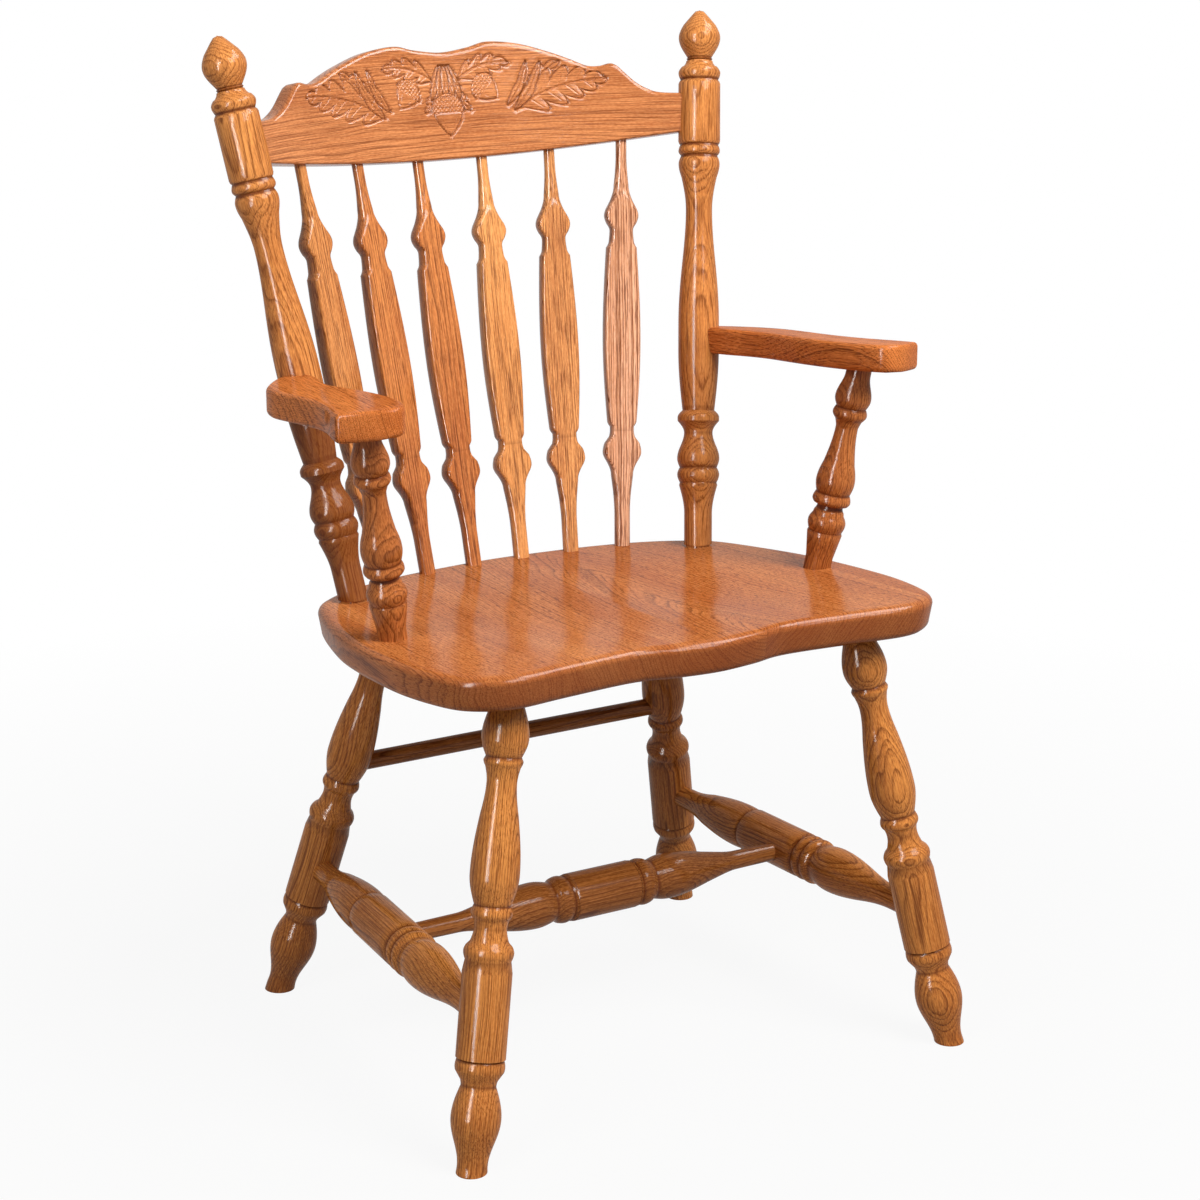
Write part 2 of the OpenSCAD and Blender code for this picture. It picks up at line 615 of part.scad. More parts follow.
module spindle_6() {
    spindle(5, oak);
}

// Arms
function arm_place(t, out) = [
    arm_post_top[0] + (arm_on_post[0] - arm_post_top[0]) * t + out,
    arm_post_top[1] + (arm_on_post[1] - arm_post_top[1]) * t
];
arm_rows = open_curve(arm_plan, 2);
// How far the rounding of the front end lowers the top at d from the tip
function end_drop(d) = d < arm_round ? arm_round - sqrt(pow(arm_round, 2) - pow(arm_round - d, 2)) : 0;
function arm_section(row) = let (
    inner = arm_place(row[0], row[1])[0], outer = arm_place(row[0], row[2])[0], y = arm_place(row[0], 0)[1],
    drop = end_drop(y - arm_place(arm_plan[0][0], 0)[1]),
    r = min(arm_round, (outer - inner) / 3), c = r * 0.3
) [
    under_arm(outer - r, y, drop), under_arm(inner + r, y, drop), under_arm(inner + c, y, drop + c),
    under_arm(inner, y, drop + r), on_arm(inner, y, drop + r), on_arm(inner + c, y, drop + c),
    on_arm(inner + r, y, drop), on_arm(outer - r, y, drop), on_arm(outer - c, y, drop + c),
    on_arm(outer, y, drop + r), under_arm(outer, y, drop + r), under_arm(outer - c, y, drop + c)
];
function on_arm(x, y, drop) = [x, y, arm_top_z(x, y) - drop];
function under_arm(x, y, lift) = [x, y, arm_under_z(x, y) + lift];
module arm_blank() {
    loft([for (row = arm_rows) arm_section(row)]);
}
module below_arm() {
    between(arm_post_top, arm_post_top + arm_normal) translate([-big / 2, -big / 2, -big]) cube(big);
}
module arm() {
    color(dark_oak) placed() difference() {
        arm_blank();
        rod(post_at(arm_on_post[2] - 2 * lap), post_at(arm_on_post[2] + 2 * lap), belly_r + fit);
        rod(arm_post_foot, arm_post_top, arm_tenon_r + fit, lap - arm_post_l, arm_tenon_l + fit);
        arm_dowel(dowel_r + fit);
    }
}
module arm_dowel(r) {
    rod(arm_on_post + arm_dowel_way * (belly_r - dowel_depth + arm_dowel_more),
        arm_on_post + arm_dowel_way * (belly_r + dowel_depth), r);
}
module arm_left() {
    mirror([1, 0, 0]) arm();
}
module arm_right() {
    arm();
}
module arm_dowels() {
    color(beech) placed() both_sides() arm_dowel(dowel_r);
}

// Arm posts: the lower half is counted from the seat, the upper half from the arm
module arm_post() {
    f = arm_post_foot_r;
    low = [
        [-spindle_depth, f, LINE], [12, f, LINE], [39, f + 4.3, LINE], [41.5, f + 3.3, LINE],
        [51, f + 5.8, TO_LEVEL], [60, f + 2.1, FROM_LEVEL], [63, f + 1.6, LINE], [69, f - 0.8, TO_LEVEL],
        [70.5, f - 0.8, LINE], [72, f + 4, LINE], [76, f + 6, TO_LEVEL], [84, f + 3.5, FROM_LEVEL],
        [97, f + 6.2, TO_LEVEL], [117, f + 2.2, FROM_LEVEL]
    ];
    high = [
        [66, f - 2.7, TO_LEVEL], [60, f - 1.3, FROM_LEVEL], [57, f - 0.3, LINE], [50, f + 3.8, TO_LEVEL],
        [43, f + 1.3, FROM_LEVEL], [33, f + 4.7, TO_LEVEL], [7, f - 1.2, WAVE], [-10, f - 1.5, LINE]
    ];
    color(dark_oak) placed() {
        intersection() {
            between(arm_post_foot, arm_post_top) turned(concat(low, from_end(arm_post_l, high)));
            below_arm();
        }
        rod(arm_post_foot, arm_post_top, arm_tenon_r, lap - arm_post_l, arm_tenon_l);
    }
}
module arm_post_left() {
    mirror([1, 0, 0]) arm_post();
}
module arm_post_right() {
    arm_post();
}

seat();
front_leg_left();
front_leg_right();
rear_leg_left();
rear_leg_right();
side_stretcher_left();
side_stretcher_right();
cross_stretcher();
rear_stretcher();
back_post_left();
back_post_right();
crest_rail();
spindle_1();
spindle_2();
spindle_3();
spindle_4();
spindle_5();
spindle_6();
arm_left();
arm_right();
arm_post_left();
arm_post_right();
crest_dowels();
arm_dowels();
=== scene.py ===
"""Looks of a spindle back armchair in golden brown oak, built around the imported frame.

The frame's own axes are kept: metres, +Z up, the chair faces -Y and its middle plane is X = 0.
Sizes of the wood are written in millimetres and turned into metres by MM where a mesh is made.
"""

import logging
import math
from collections.abc import Callable, Sequence
from dataclasses import dataclass, replace
from enum import Enum
from functools import partial

import bmesh
import bpy
import numpy as np
from mathutils import Matrix, Vector

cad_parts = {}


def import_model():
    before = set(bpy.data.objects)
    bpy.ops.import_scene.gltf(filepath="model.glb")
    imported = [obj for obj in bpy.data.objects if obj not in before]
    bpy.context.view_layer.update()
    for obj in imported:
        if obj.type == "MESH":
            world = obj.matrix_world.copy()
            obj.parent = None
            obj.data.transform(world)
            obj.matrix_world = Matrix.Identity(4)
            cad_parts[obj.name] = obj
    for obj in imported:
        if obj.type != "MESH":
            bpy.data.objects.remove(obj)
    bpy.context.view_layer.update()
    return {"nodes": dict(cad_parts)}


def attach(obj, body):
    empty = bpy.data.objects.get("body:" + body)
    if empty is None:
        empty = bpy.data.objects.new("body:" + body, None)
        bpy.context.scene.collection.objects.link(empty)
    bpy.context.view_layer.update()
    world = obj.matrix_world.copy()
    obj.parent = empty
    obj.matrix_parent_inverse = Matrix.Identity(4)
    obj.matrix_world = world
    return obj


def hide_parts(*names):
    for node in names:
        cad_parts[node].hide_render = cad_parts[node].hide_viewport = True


log = logging.getLogger("chair")

MM = 0.001
ROOT = "root"
# How far the maker's gauge line, the line of the back posts' feet, lies behind the origin
GAUGE_Y = 94.9
# Points closer than this, in metres, are one point
SAME = 1e-6
# Edges that turn more than this stay sharp
SHARP = math.radians(34)

Pair = tuple[float, float]
Point = tuple[float, float, float]
Node = bpy.types.Node
Socket = bpy.types.NodeSocket
# Adds a node to the tree of a material or of the world
Add = Callable[..., Node]


def srgb(code: str) -> tuple[float, float, float, float]:
    """Turns an sRGB hex colour into linear RGBA.

    Args:
        code: Six hex digits, with or without a leading #.

    Returns:
        The linear colour with an alpha of 1.
    """
    parts = [int(code.lstrip("#")[i : i + 2], 16) / 255 for i in (0, 2, 4)]
    linear = [p / 12.92 if p <= 0.04045 else ((p + 0.055) / 1.055) ** 2.4 for p in parts]
    return (linear[0], linear[1], linear[2], 1.0)


def new_tree(owner: bpy.types.Material | bpy.types.World) -> bpy.types.NodeTree:
    """Gives a new material or world an empty node tree.

    Args:
        owner: The material or world.

    Returns:
        The empty tree.
    """
    owner.use_nodes = True
    owner.node_tree.nodes.clear()
    return owner.node_tree


def add_node(tree: bpy.types.NodeTree, kind: str, inputs: dict | Sequence = (), **settings: object) -> Node:
    """Adds a node with its settings, values and links.

    Args:
        tree: Node tree that gets the node.
        kind: Type name of the node after the word ShaderNode.
        inputs: Values by socket name or number, or a sequence in the order of the sockets. An output
            socket is linked, and a node stands for its first output.
        **settings: Attributes of the node.

    Returns:
        The new node.
    """
    node = tree.nodes.new(f"ShaderNode{kind}")
    for name, value in settings.items():
        setattr(node, name, value)
    for key, value in inputs.items() if isinstance(inputs, dict) else enumerate(inputs):
        if isinstance(value, Node):
            value = value.outputs[0]
        if isinstance(value, Socket):
            tree.links.new(value, node.inputs[key])
        else:
            node.inputs[key].default_value = value
    return node


def tangent(degrees: float) -> float:
    """Gives the tangent of an angle in degrees."""
    return math.tan(math.radians(degrees))


def catmull(points: Sequence[Sequence[float]], t: float, closed: bool) -> np.ndarray:
    """Gives a point of the smooth curve through the points.

    Args:
        points: Knots of the curve.
        t: Place on the curve, from 0 to the count of its spans.
        closed: True where the last knot is joined to the first.

    Returns:
        The point as an array.
    """
    n = len(points)
    i = min(int(t), n - 1 if closed else n - 2)
    u = t - i
    picks = [k % n if closed else min(max(k, 0), n - 1) for k in range(i - 1, i + 3)]
    a, b, c, d = (np.array(points[k], float) for k in picks)
    return (2 * b + (c - a) * u + (2 * a - 5 * b + 4 * c - d) * u**2 + (3 * b - a - 3 * c + d) * u**3) / 2


def close(bm: bmesh.types.BMesh) -> None:
    """Fills a mesh's open ends and makes its faces smooth and outward.

    Args:
        bm: The mesh.
    """
    rims = [e for e in bm.edges if e.is_boundary]
    if rims:
        bmesh.ops.holes_fill(bm, edges=rims, sides=0)
    bmesh.ops.recalc_face_normals(bm, faces=bm.faces)
    for f in bm.faces:
        f.smooth = True


def linked(name: str, bm: bmesh.types.BMesh) -> bpy.types.Object:
    """Turns a finished mesh into an object of the scene.

    Args:
        name: Name of the piece.
        bm: Its mesh, which is freed.

    Returns:
        The linked object.
    """
    mesh = bpy.data.meshes.new(name)
    bm.to_mesh(mesh)
    bm.free()
    piece = bpy.data.objects.new(name, mesh)
    bpy.context.scene.collection.objects.link(piece)
    return piece


def wrapped_mesh(
    name: str,
    across: int,
    along: int,
    place: Callable[[int, int], Point],
    notes: Callable[[int, int], tuple[Point, float]] | None = None,
) -> bpy.types.Object:
    """Wraps a grid into a closed skin.

    The grid's across direction closes on itself. Its along direction ends in two caps, or in
    two poles where all of a row's points fall together.

    Args:
        name: Name of the piece.
        across: Count of faces round the section.
        along: Count of faces from end to end.
        place: Gives the point in millimetres for a column and a row.
        notes: Gives the place along the bend and the darkening for the finish, which is stain in the crest's
            hollows and partly painted shade on the seat.

    Returns:
        The linked object with smooth faces.
    """
    bm = bmesh.new()
    along_bend = bm.verts.layers.float_vector.new("along_bend") if notes else None
    hollow = bm.verts.layers.float.new("hollow") if notes else None
    bmesh.ops.create_grid(bm, x_segments=across, y_segments=along, size=0.5)
    for v in bm.verts:
        column = round((v.co.x + 0.5) * across) % across
        row = round((v.co.y + 0.5) * along)
        v.co = Vector(place(column, row)) * MM
        if notes:
            v[along_bend], v[hollow] = notes(column, row)
    bmesh.ops.remove_doubles(bm, verts=bm.verts, dist=SAME)
    close(bm)
    return linked(name, bm)


@dataclass(frozen=True)
class Grain:
    """How a piece was cut from the tree.

    Attributes:
        start: Point on the piece's axis, in millimetres.
        way: Direction of the fibres.
        pith: Where the tree's heart lies from the axis, in millimetres across the fibres.
        turn: Turn of the rings about the fibres, in degrees.
        seed: Moves the pattern along the tree, in millimetres.
    """

    start: Point
    way: Point
    pith: Pair = (42.0, 18.0)
    turn: float = 0.0
    seed: float = 0.0

    def euler(self) -> Point:
        """Gives the rotation that takes +Z to the fibres.

        Returns:
            The rotation's XYZ angles in radians.
        """
        swing = Vector((0, 0, 1)).rotation_difference(Vector(self.way).normalized())
        spin = Matrix.Rotation(math.radians(self.turn), 3, "Z")
        return tuple((swing.to_matrix() @ spin).to_euler("XYZ"))

    def origin(self) -> Point:
        """Gives the pattern's origin in metres."""
        return tuple((Vector(self.start) + Vector(self.way).normalized() * self.seed) * MM)


class Follows(Enum):
    """What a piece's grain follows."""

    BLANK = "blank"
    BEND = "bend"


@dataclass(frozen=True)
class Oak:
    """Red oak with a golden brown wiping stain under sprayed satin lacquer.

    The stain sinks into the open pores, so these draw dark streaks along the fibres and
    dark bands at the start of each growth ring, and it stays in grooves and hollows. The
    hollow attribute that darkens the grooves also carries painted shade on some pieces. The
    lacquer lies over it as a clear coat.
    """

    pale: str = "#d8934c"
    middle: str = "#bf7836"
    ring_tone: str = "#8a4d20"
    pore_tone: str = "#5a260c"
    ring_mm: float = 3.4
    ring_depth: float = 0.6
    # Width and length of the open pores' streaks; the real ones are 0.3 mm wide
    pore_mm: float = 0.8
    pore_long_mm: float = 30.0
    pore_depth: float = 0.7
    pore_edge: Pair = (0.55, 0.65)
    wander_mm: float = 14.0
    # Strength of the hollow attribute: stain in grooves and carvings, and painted shade
    stain_and_shade_depth: float = 0.0
    board_mm: float = 0.0
    board_depth: float = 0.24
    # Cells per millimetre across and along the fibres. The fibres are about 1 mm wide here,
    # twice their real width, so that they show
    fibre_cells: Pair = (0.8, 0.02)
    fleck_cells: Pair = (0.85, 0.22)
    tone_cells: Pair = (0.02, 0.003)
    wander_cells: Pair = (0.012, 0.0028)
    fibre_depth: float = 0.8
    fleck_depth: float = 0.7
    # Sum of tone, flecks and fibres where the wood is all pale, and where it is all darker
    tone_range: Pair = (1.02, 1.48)
    # Share of a year and how porous the wood is there
    year: tuple[Pair, ...] = ((0.0, 0.35), (0.07, 1.0), (0.22, 0.5), (0.42, 0.12), (0.9, 0.0), (1.0, 0.3))
    lacquer: float = 0.36
    lacquer_ior: float = 1.36
    lacquer_roughness: float = 0.13
    wood_roughness: float = 0.45
    # How far the pores sink into the wood and into the lacquer
    wood_pore_mm: float = 0.12
    lacquer_pore_mm: float = 0.06

    def material(self, name: str, grain: Grain, follows: Follows = Follows.BLANK) -> bpy.types.Material:
        """Makes the oak for one piece.

        Args:
            name: Name of the material.
            grain: How the piece was cut from the tree.
            follows: Whether the fibres run straight or along the piece's own bend.

        Returns:
            The material with its nodes.
        """
        material = bpy.data.materials.new(name)
        add = partial(add_node, new_tree(material))
        local = self._local(add, grain, follows)
        board = None
        if self.board_mm > 0:
            local, board = self._boards(add, local)
        rings = self._rings(add, local, grain)
        streaks = self._streaks(add, local, (1 / self.pore_mm, 1 / self.pore_long_mm), 2.0)
        # The pores crowd together in the start of each ring
        crowd = add("Math", (rings, 0.15, streaks), operation="MULTIPLY_ADD")
        low, high = self.pore_edge
        pores = add("MapRange", (crowd, low, high), interpolation_type="SMOOTHSTEP")
        tone = self._streaks(add, local, self.tone_cells, 2.0)
        fleck = self._streaks(add, local, self.fleck_cells, 1.0)
        fibre = self._streaks(add, local, self.fibre_cells, 3.0)
        parts = ((fleck, self.fleck_depth), (board, self.board_depth), (fibre, self.fibre_depth))
        for part, depth in parts:
            if part is not None:
                tone = add("Math", (part, depth, tone), operation="MULTIPLY_ADD")
        height = add("Math", (pores, -1.0, 1.0), operation="MULTIPLY_ADD")
        bump = {"Strength": 0.5, "Distance": self.wood_pore_mm * MM, "Height": height}
        coat_bump = {"Strength": 0.2, "Distance": self.lacquer_pore_mm * MM, "Height": height}
        rough = {"Value": pores, "To Min": self.wood_roughness, "To Max": self.wood_roughness + 0.2}
        looks = {
            "Base Color": self._colour(add, tone, rings, pores),
            "Roughness": add("MapRange", rough),
            "IOR": 1.45,
            "Specular IOR Level": 0.0,
            "Normal": add("Bump", bump),
            "Coat Weight": self.lacquer,
            "Coat Roughness": self.lacquer_roughness,
            "Coat IOR": self.lacquer_ior,
            "Coat Normal": add("Bump", coat_bump),
        }
        add("OutputMaterial", (add("BsdfPrincipled", looks),))
        return material

    @staticmethod
    def _local(add: Add, grain: Grain, follows: Follows) -> Node | Socket:
        """Gives millimetres on the piece, with Z along the fibres.

        Args:
            add: Adds a node to the material's tree.
            grain: How the piece was cut from the tree.
            follows: What its fibres follow.

        Returns:
            The node or socket that gives the place.
        """
        if follows is Follows.BEND:
            return add("Attribute", attribute_name="along_bend").outputs["Vector"]
        place = add("TexCoord").outputs["Object"]
        return add("Mapping", (place, grain.origin(), grain.euler(), (MM, MM, MM)), vector_type="TEXTURE")

    def _boards(self, add: Add, local: Node) -> tuple[Node, Socket]:
        """Shifts the grain from board to board where a piece is glued up side by side.

        Args:
            add: Adds a node to the material's tree.
            local: Place on the piece, in millimetres.

        Returns:
            The shifted place and a tone for each board, from 0 to 1.
        """
        count = add("Math", (add("SeparateXYZ", (local,)), 1 / self.board_mm, 0.37), operation="MULTIPLY_ADD")
        number = add("Math", (count,), operation="FLOOR")
        chance = add("TexWhiteNoise", {"W": number}, noise_dimensions="1D")
        reach = (150.0, 26.0, 900.0)
        shift = add("VectorMath", (chance.outputs["Color"], reach, local), operation="MULTIPLY_ADD")
        return shift, chance.outputs["Value"]

    @staticmethod
    def _streaks(add: Add, local: Node | Socket, cells: Pair, detail: float) -> Node:
        """Gives noise drawn out along the fibres, from 0 to 1."""
        vector = add("Mapping", {"Vector": local, "Scale": (cells[0], cells[0], cells[1])})
        return add("TexNoise", {"Vector": vector, "Scale": 1.0, "Detail": detail})

    def _rings(self, add: Add, local: Node | Socket, grain: Grain) -> Node:
        """Gives 1 in the porous start of each growth ring, fading to 0 towards its end.

        Args:
            add: Adds a node to the material's tree.
            local: Place on the piece, in millimetres.
            grain: How the piece was cut from the tree.

        Returns:
            The node that gives it.
        """
        noise = self._streaks(add, local, self.wander_cells, 3.0).outputs["Color"]
        back = tuple(-self.wander_mm - p for p in (*grain.pith, 0.0))
        wander = add("VectorMath", (noise, (2 * self.wander_mm,) * 3, back), operation="MULTIPLY_ADD")
        moved = add("VectorMath", (local, wander), operation="ADD")
        flat = add("VectorMath", (moved, (1.0, 1.0, 0.0)), operation="MULTIPLY")
        distance = add("VectorMath", (flat,), operation="LENGTH").outputs["Value"]
        count = add("Math", (distance, 1.0 / self.ring_mm), operation="MULTIPLY")
        # Some years are wide and some narrow
        years = add("TexNoise", {"W": count, "Scale": 0.45, "Detail": 1.0}, noise_dimensions="1D")
        count = add("Math", (years, 1.8, count), operation="MULTIPLY_ADD")
        ramp = add("ValToRGB", (add("Math", (count,), operation="FRACT"),))
        stops = ramp.color_ramp.elements
        for i, (at, value) in enumerate(self.year):
            stop = stops[i] if i < 2 else stops.new(at)
            stop.position = at
            stop.color = (value, value, value, 1.0)
        strength = add("Math", (years, 1.2, 0.3), operation="MULTIPLY_ADD")
        return add("Math", (ramp, strength), operation="MULTIPLY")

    def _colour(self, add: Add, tone: Node, rings: Node, pores: Node) -> Socket:
        """Lays the stain's tones over each other, from the pale wood to the hollows.

        Args:
            add: Adds a node to the material's tree.
            tone: Sum of tone, flecks and fibres.
            rings: Porous start of the growth rings.
            pores: The open pores.

        Returns:
            The socket that gives the colour.
        """
        low, high = self.tone_range
        base = add("MapRange", (tone, low, high))
        colour = add("Mix", {0: base, 6: srgb(self.pale), 7: srgb(self.middle)}, data_type="RGBA").outputs[2]
        layers = [(rings, self.ring_depth, self.ring_tone), (pores, self.pore_depth, self.pore_tone)]
        if self.stain_and_shade_depth > 0:
            # The hollow attribute holds stain in grooves and carvings, and painted shade on the spindles'
            # turned sides, the posts' low ends and the seat's edge and underside
            hollow = add("Attribute", attribute_name="hollow").outputs["Fac"]
            layers.append((hollow, self.stain_and_shade_depth, self.pore_tone))
        for where, depth, stain in layers:
            share = add("Math", (where, depth), operation="MULTIPLY")
            colour = add("Mix", {0: share, 6: colour, 7: srgb(stain)}, data_type="RGBA").outputs[2]
        return colour


SEAT_OAK = Oak("#c47a42", "#a75c2c", "#79401a", ring_depth=0.5, board_mm=104, stain_and_shade_depth=0.62,
               lacquer_roughness=0.15)
CREST_OAK = Oak("#cb8450", "#a66033", "#7c411b", ring_mm=3.0, ring_depth=0.5, pore_long_mm=70,
                pore_depth=0.55, stain_and_shade_depth=0.65, lacquer=0.7)
ARM_OAK = Oak("#cf7a3e", "#ac5b28", "#733c18", ring_mm=2.4, ring_depth=0.35, wander_mm=6, lacquer=0.2)
POST_OAK = Oak("#d28b4a", "#b16c36", "#7c411b", ring_mm=2.6, pore_depth=0.6, stain_and_shade_depth=0.85)
# A darker copy of the posts' oak for the arm posts: partly their own darker, redder wood, partly painted
# shade of the arms above them
ARM_POST_SHADED_OAK = replace(POST_OAK, pale="#bb7039", middle="#925126", ring_tone="#623213", ring_mm=2.7,
                       ring_depth=0.7)
LEG_OAK = replace(POST_OAK, pale="#c6803f", middle="#a05c28", ring_tone="#6b3815", ring_mm=2.7,
                  ring_depth=0.68, pore_long_mm=45)
# The legs' oak made darker as painted shade, for the stretchers in the seat's shade
SHADED_LEG_OAK = replace(LEG_OAK, pale="#a66734", middle="#804a1f", ring_tone="#582c11")
SPINDLE_OAK = Oak(wander_mm=8, stain_and_shade_depth=0.75, lacquer=0.9)


def dress(piece: bpy.types.Object, material: bpy.types.Material) -> None:
    """Gives a piece its one material."""
    piece.data.materials.clear()
    piece.data.materials.append(material)


def stand_in(piece: bpy.types.Object, node: str, material: bpy.types.Material) -> None:
    """Finishes a piece and lets it stand for a node of the frame.

    Args:
        piece: The finished piece.
        node: The frame's node that it stands for.
        material: Its material.
    """
    dress(piece, material)
    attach(piece, ROOT)
    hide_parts(node)
    log.info("built %s, %d faces", piece.name, len(piece.data.polygons))


@dataclass(frozen=True)
class Axis:
    """Axis of a turned piece, in millimetres on the gauge.

    Attributes:
        foot: Where the distances start.
        head: Point that the axis runs to.
        face: Compass angle that the piece's own +X side turns to, in degrees.
    """

    foot: Vector
    head: Vector
    face: float = 0.0

    def length(self) -> float:
        """Gives the distance from foot to head."""
        return (self.head - self.foot).length

    def matrix(self) -> Matrix:
        """Gives the placement in metres of a piece that stands up from the origin.

        Returns:
            The matrix that takes the lathe's frame to the axis.
        """
        way = self.head - self.foot
        azimuth = math.atan2(way.y, way.x)
        lean = math.acos(way.z / way.length)
        turn = math.radians(self.face) - azimuth
        leaned = Matrix.Rotation(azimuth, 4, "Z") @ Matrix.Rotation(lean, 4, "Y")
        turned = leaned @ Matrix.Rotation(turn, 4, "Z")
        return Matrix.Translation((self.foot + Vector((0, GAUGE_Y, 0))) * MM) @ turned


def flip(point: Sequence[float], side: int) -> Vector:
    """Gives a right-hand point, or its mirror on the left where side is -1."""
    return Vector((side * point[0], point[1], point[2]))


def level(axis: Axis, z: float) -> Vector:
    """Gives the point of an axis at a height."""
    return axis.foot + (axis.head - axis.foot) * ((z - axis.foot.z) / (axis.head.z - axis.foot.z))


@dataclass(frozen=True)
class Gauge:
    """The chair's shared lines: the seat's planes and the ends of every turned axis."""

    height: float = 1050
    seat_h: float = 470.5
    seat_tilt: float = 3.55
    seat_t: float = 35.5
    arm_h: float = 711
    arm_tilt: float = 5.34
    arm_cant: float = 3.68
    arm_t: float = 29
    front_foot: Point = (291, -386, 0)
    front_top: Pair = (206, -316)
    rear_foot: Point = (265, 110, 0)
    rear_top: Pair = (167, 16)
    post_x: float = 215
    post_splay: float = 7.58
    recline: float = 12.28
    stretcher_h: float = 147.5
    stretcher_rise: float = 3
    rear_stretcher_h: float = 271
    arm_post_foot: Pair = (257, -172)
    arm_post_top: Pair = (291.5, -193)

    def seat_z(self, y: float) -> float:
        """Gives the height of the seat's top."""
        return self.seat_h - y * tangent(self.seat_tilt)

    def under_z(self, y: float) -> float:
        """Gives the height of the seat's underside."""
        return self.seat_z(y) - self.seat_t / math.cos(math.radians(self.seat_tilt))

    def arm_depth(self) -> float:
        """Gives the arm's thickness along the upright."""
        return self.arm_t * math.hypot(1, tangent(self.arm_cant), tangent(self.arm_tilt))

    def leg(self, side: int, front: bool) -> Axis:
        """Gives a leg's axis, from the floor to the seat."""
        foot, (x, y) = (self.front_foot, self.front_top) if front else (self.rear_foot, self.rear_top)
        return Axis(flip(foot, side), flip((x, y, self.under_z(y)), side))

    def post(self, side: int) -> Axis:
        """Gives a back post's axis, from the seat to the finial's tip.

        Args:
            side: -1 for the left post and 1 for the right one.

        Returns:
            The axis.
        """
        up = self.height - self.seat_h
        tip = (self.post_x + up * tangent(self.post_splay), up * tangent(self.recline), self.height)
        return Axis(flip((self.post_x, 0, self.seat_h), side), flip(tip, side))

    def arm_post(self, side: int) -> Axis:
        """Gives an arm post's axis.

        Args:
            side: -1 for the left post and 1 for the right one.

        Returns:
            The axis, from the seat's top to the arm's underside.
        """
        (x, y), (a, b) = self.arm_post_foot, self.arm_post_top
        top = self.arm_h - self.arm_depth() - b * tangent(self.arm_tilt)
        return Axis(flip((x, y, self.seat_z(y)), side), flip((a, b, top), side))

    def side_stretcher(self, side: int) -> Axis:
        """Gives a side stretcher's axis, from the front leg to the rear leg."""
        front = level(self.leg(side, True), self.stretcher_h)
        return Axis(front, level(self.leg(side, False), self.stretcher_h + self.stretcher_rise))


SIDES = ((-1, "left"), (1, "right"))


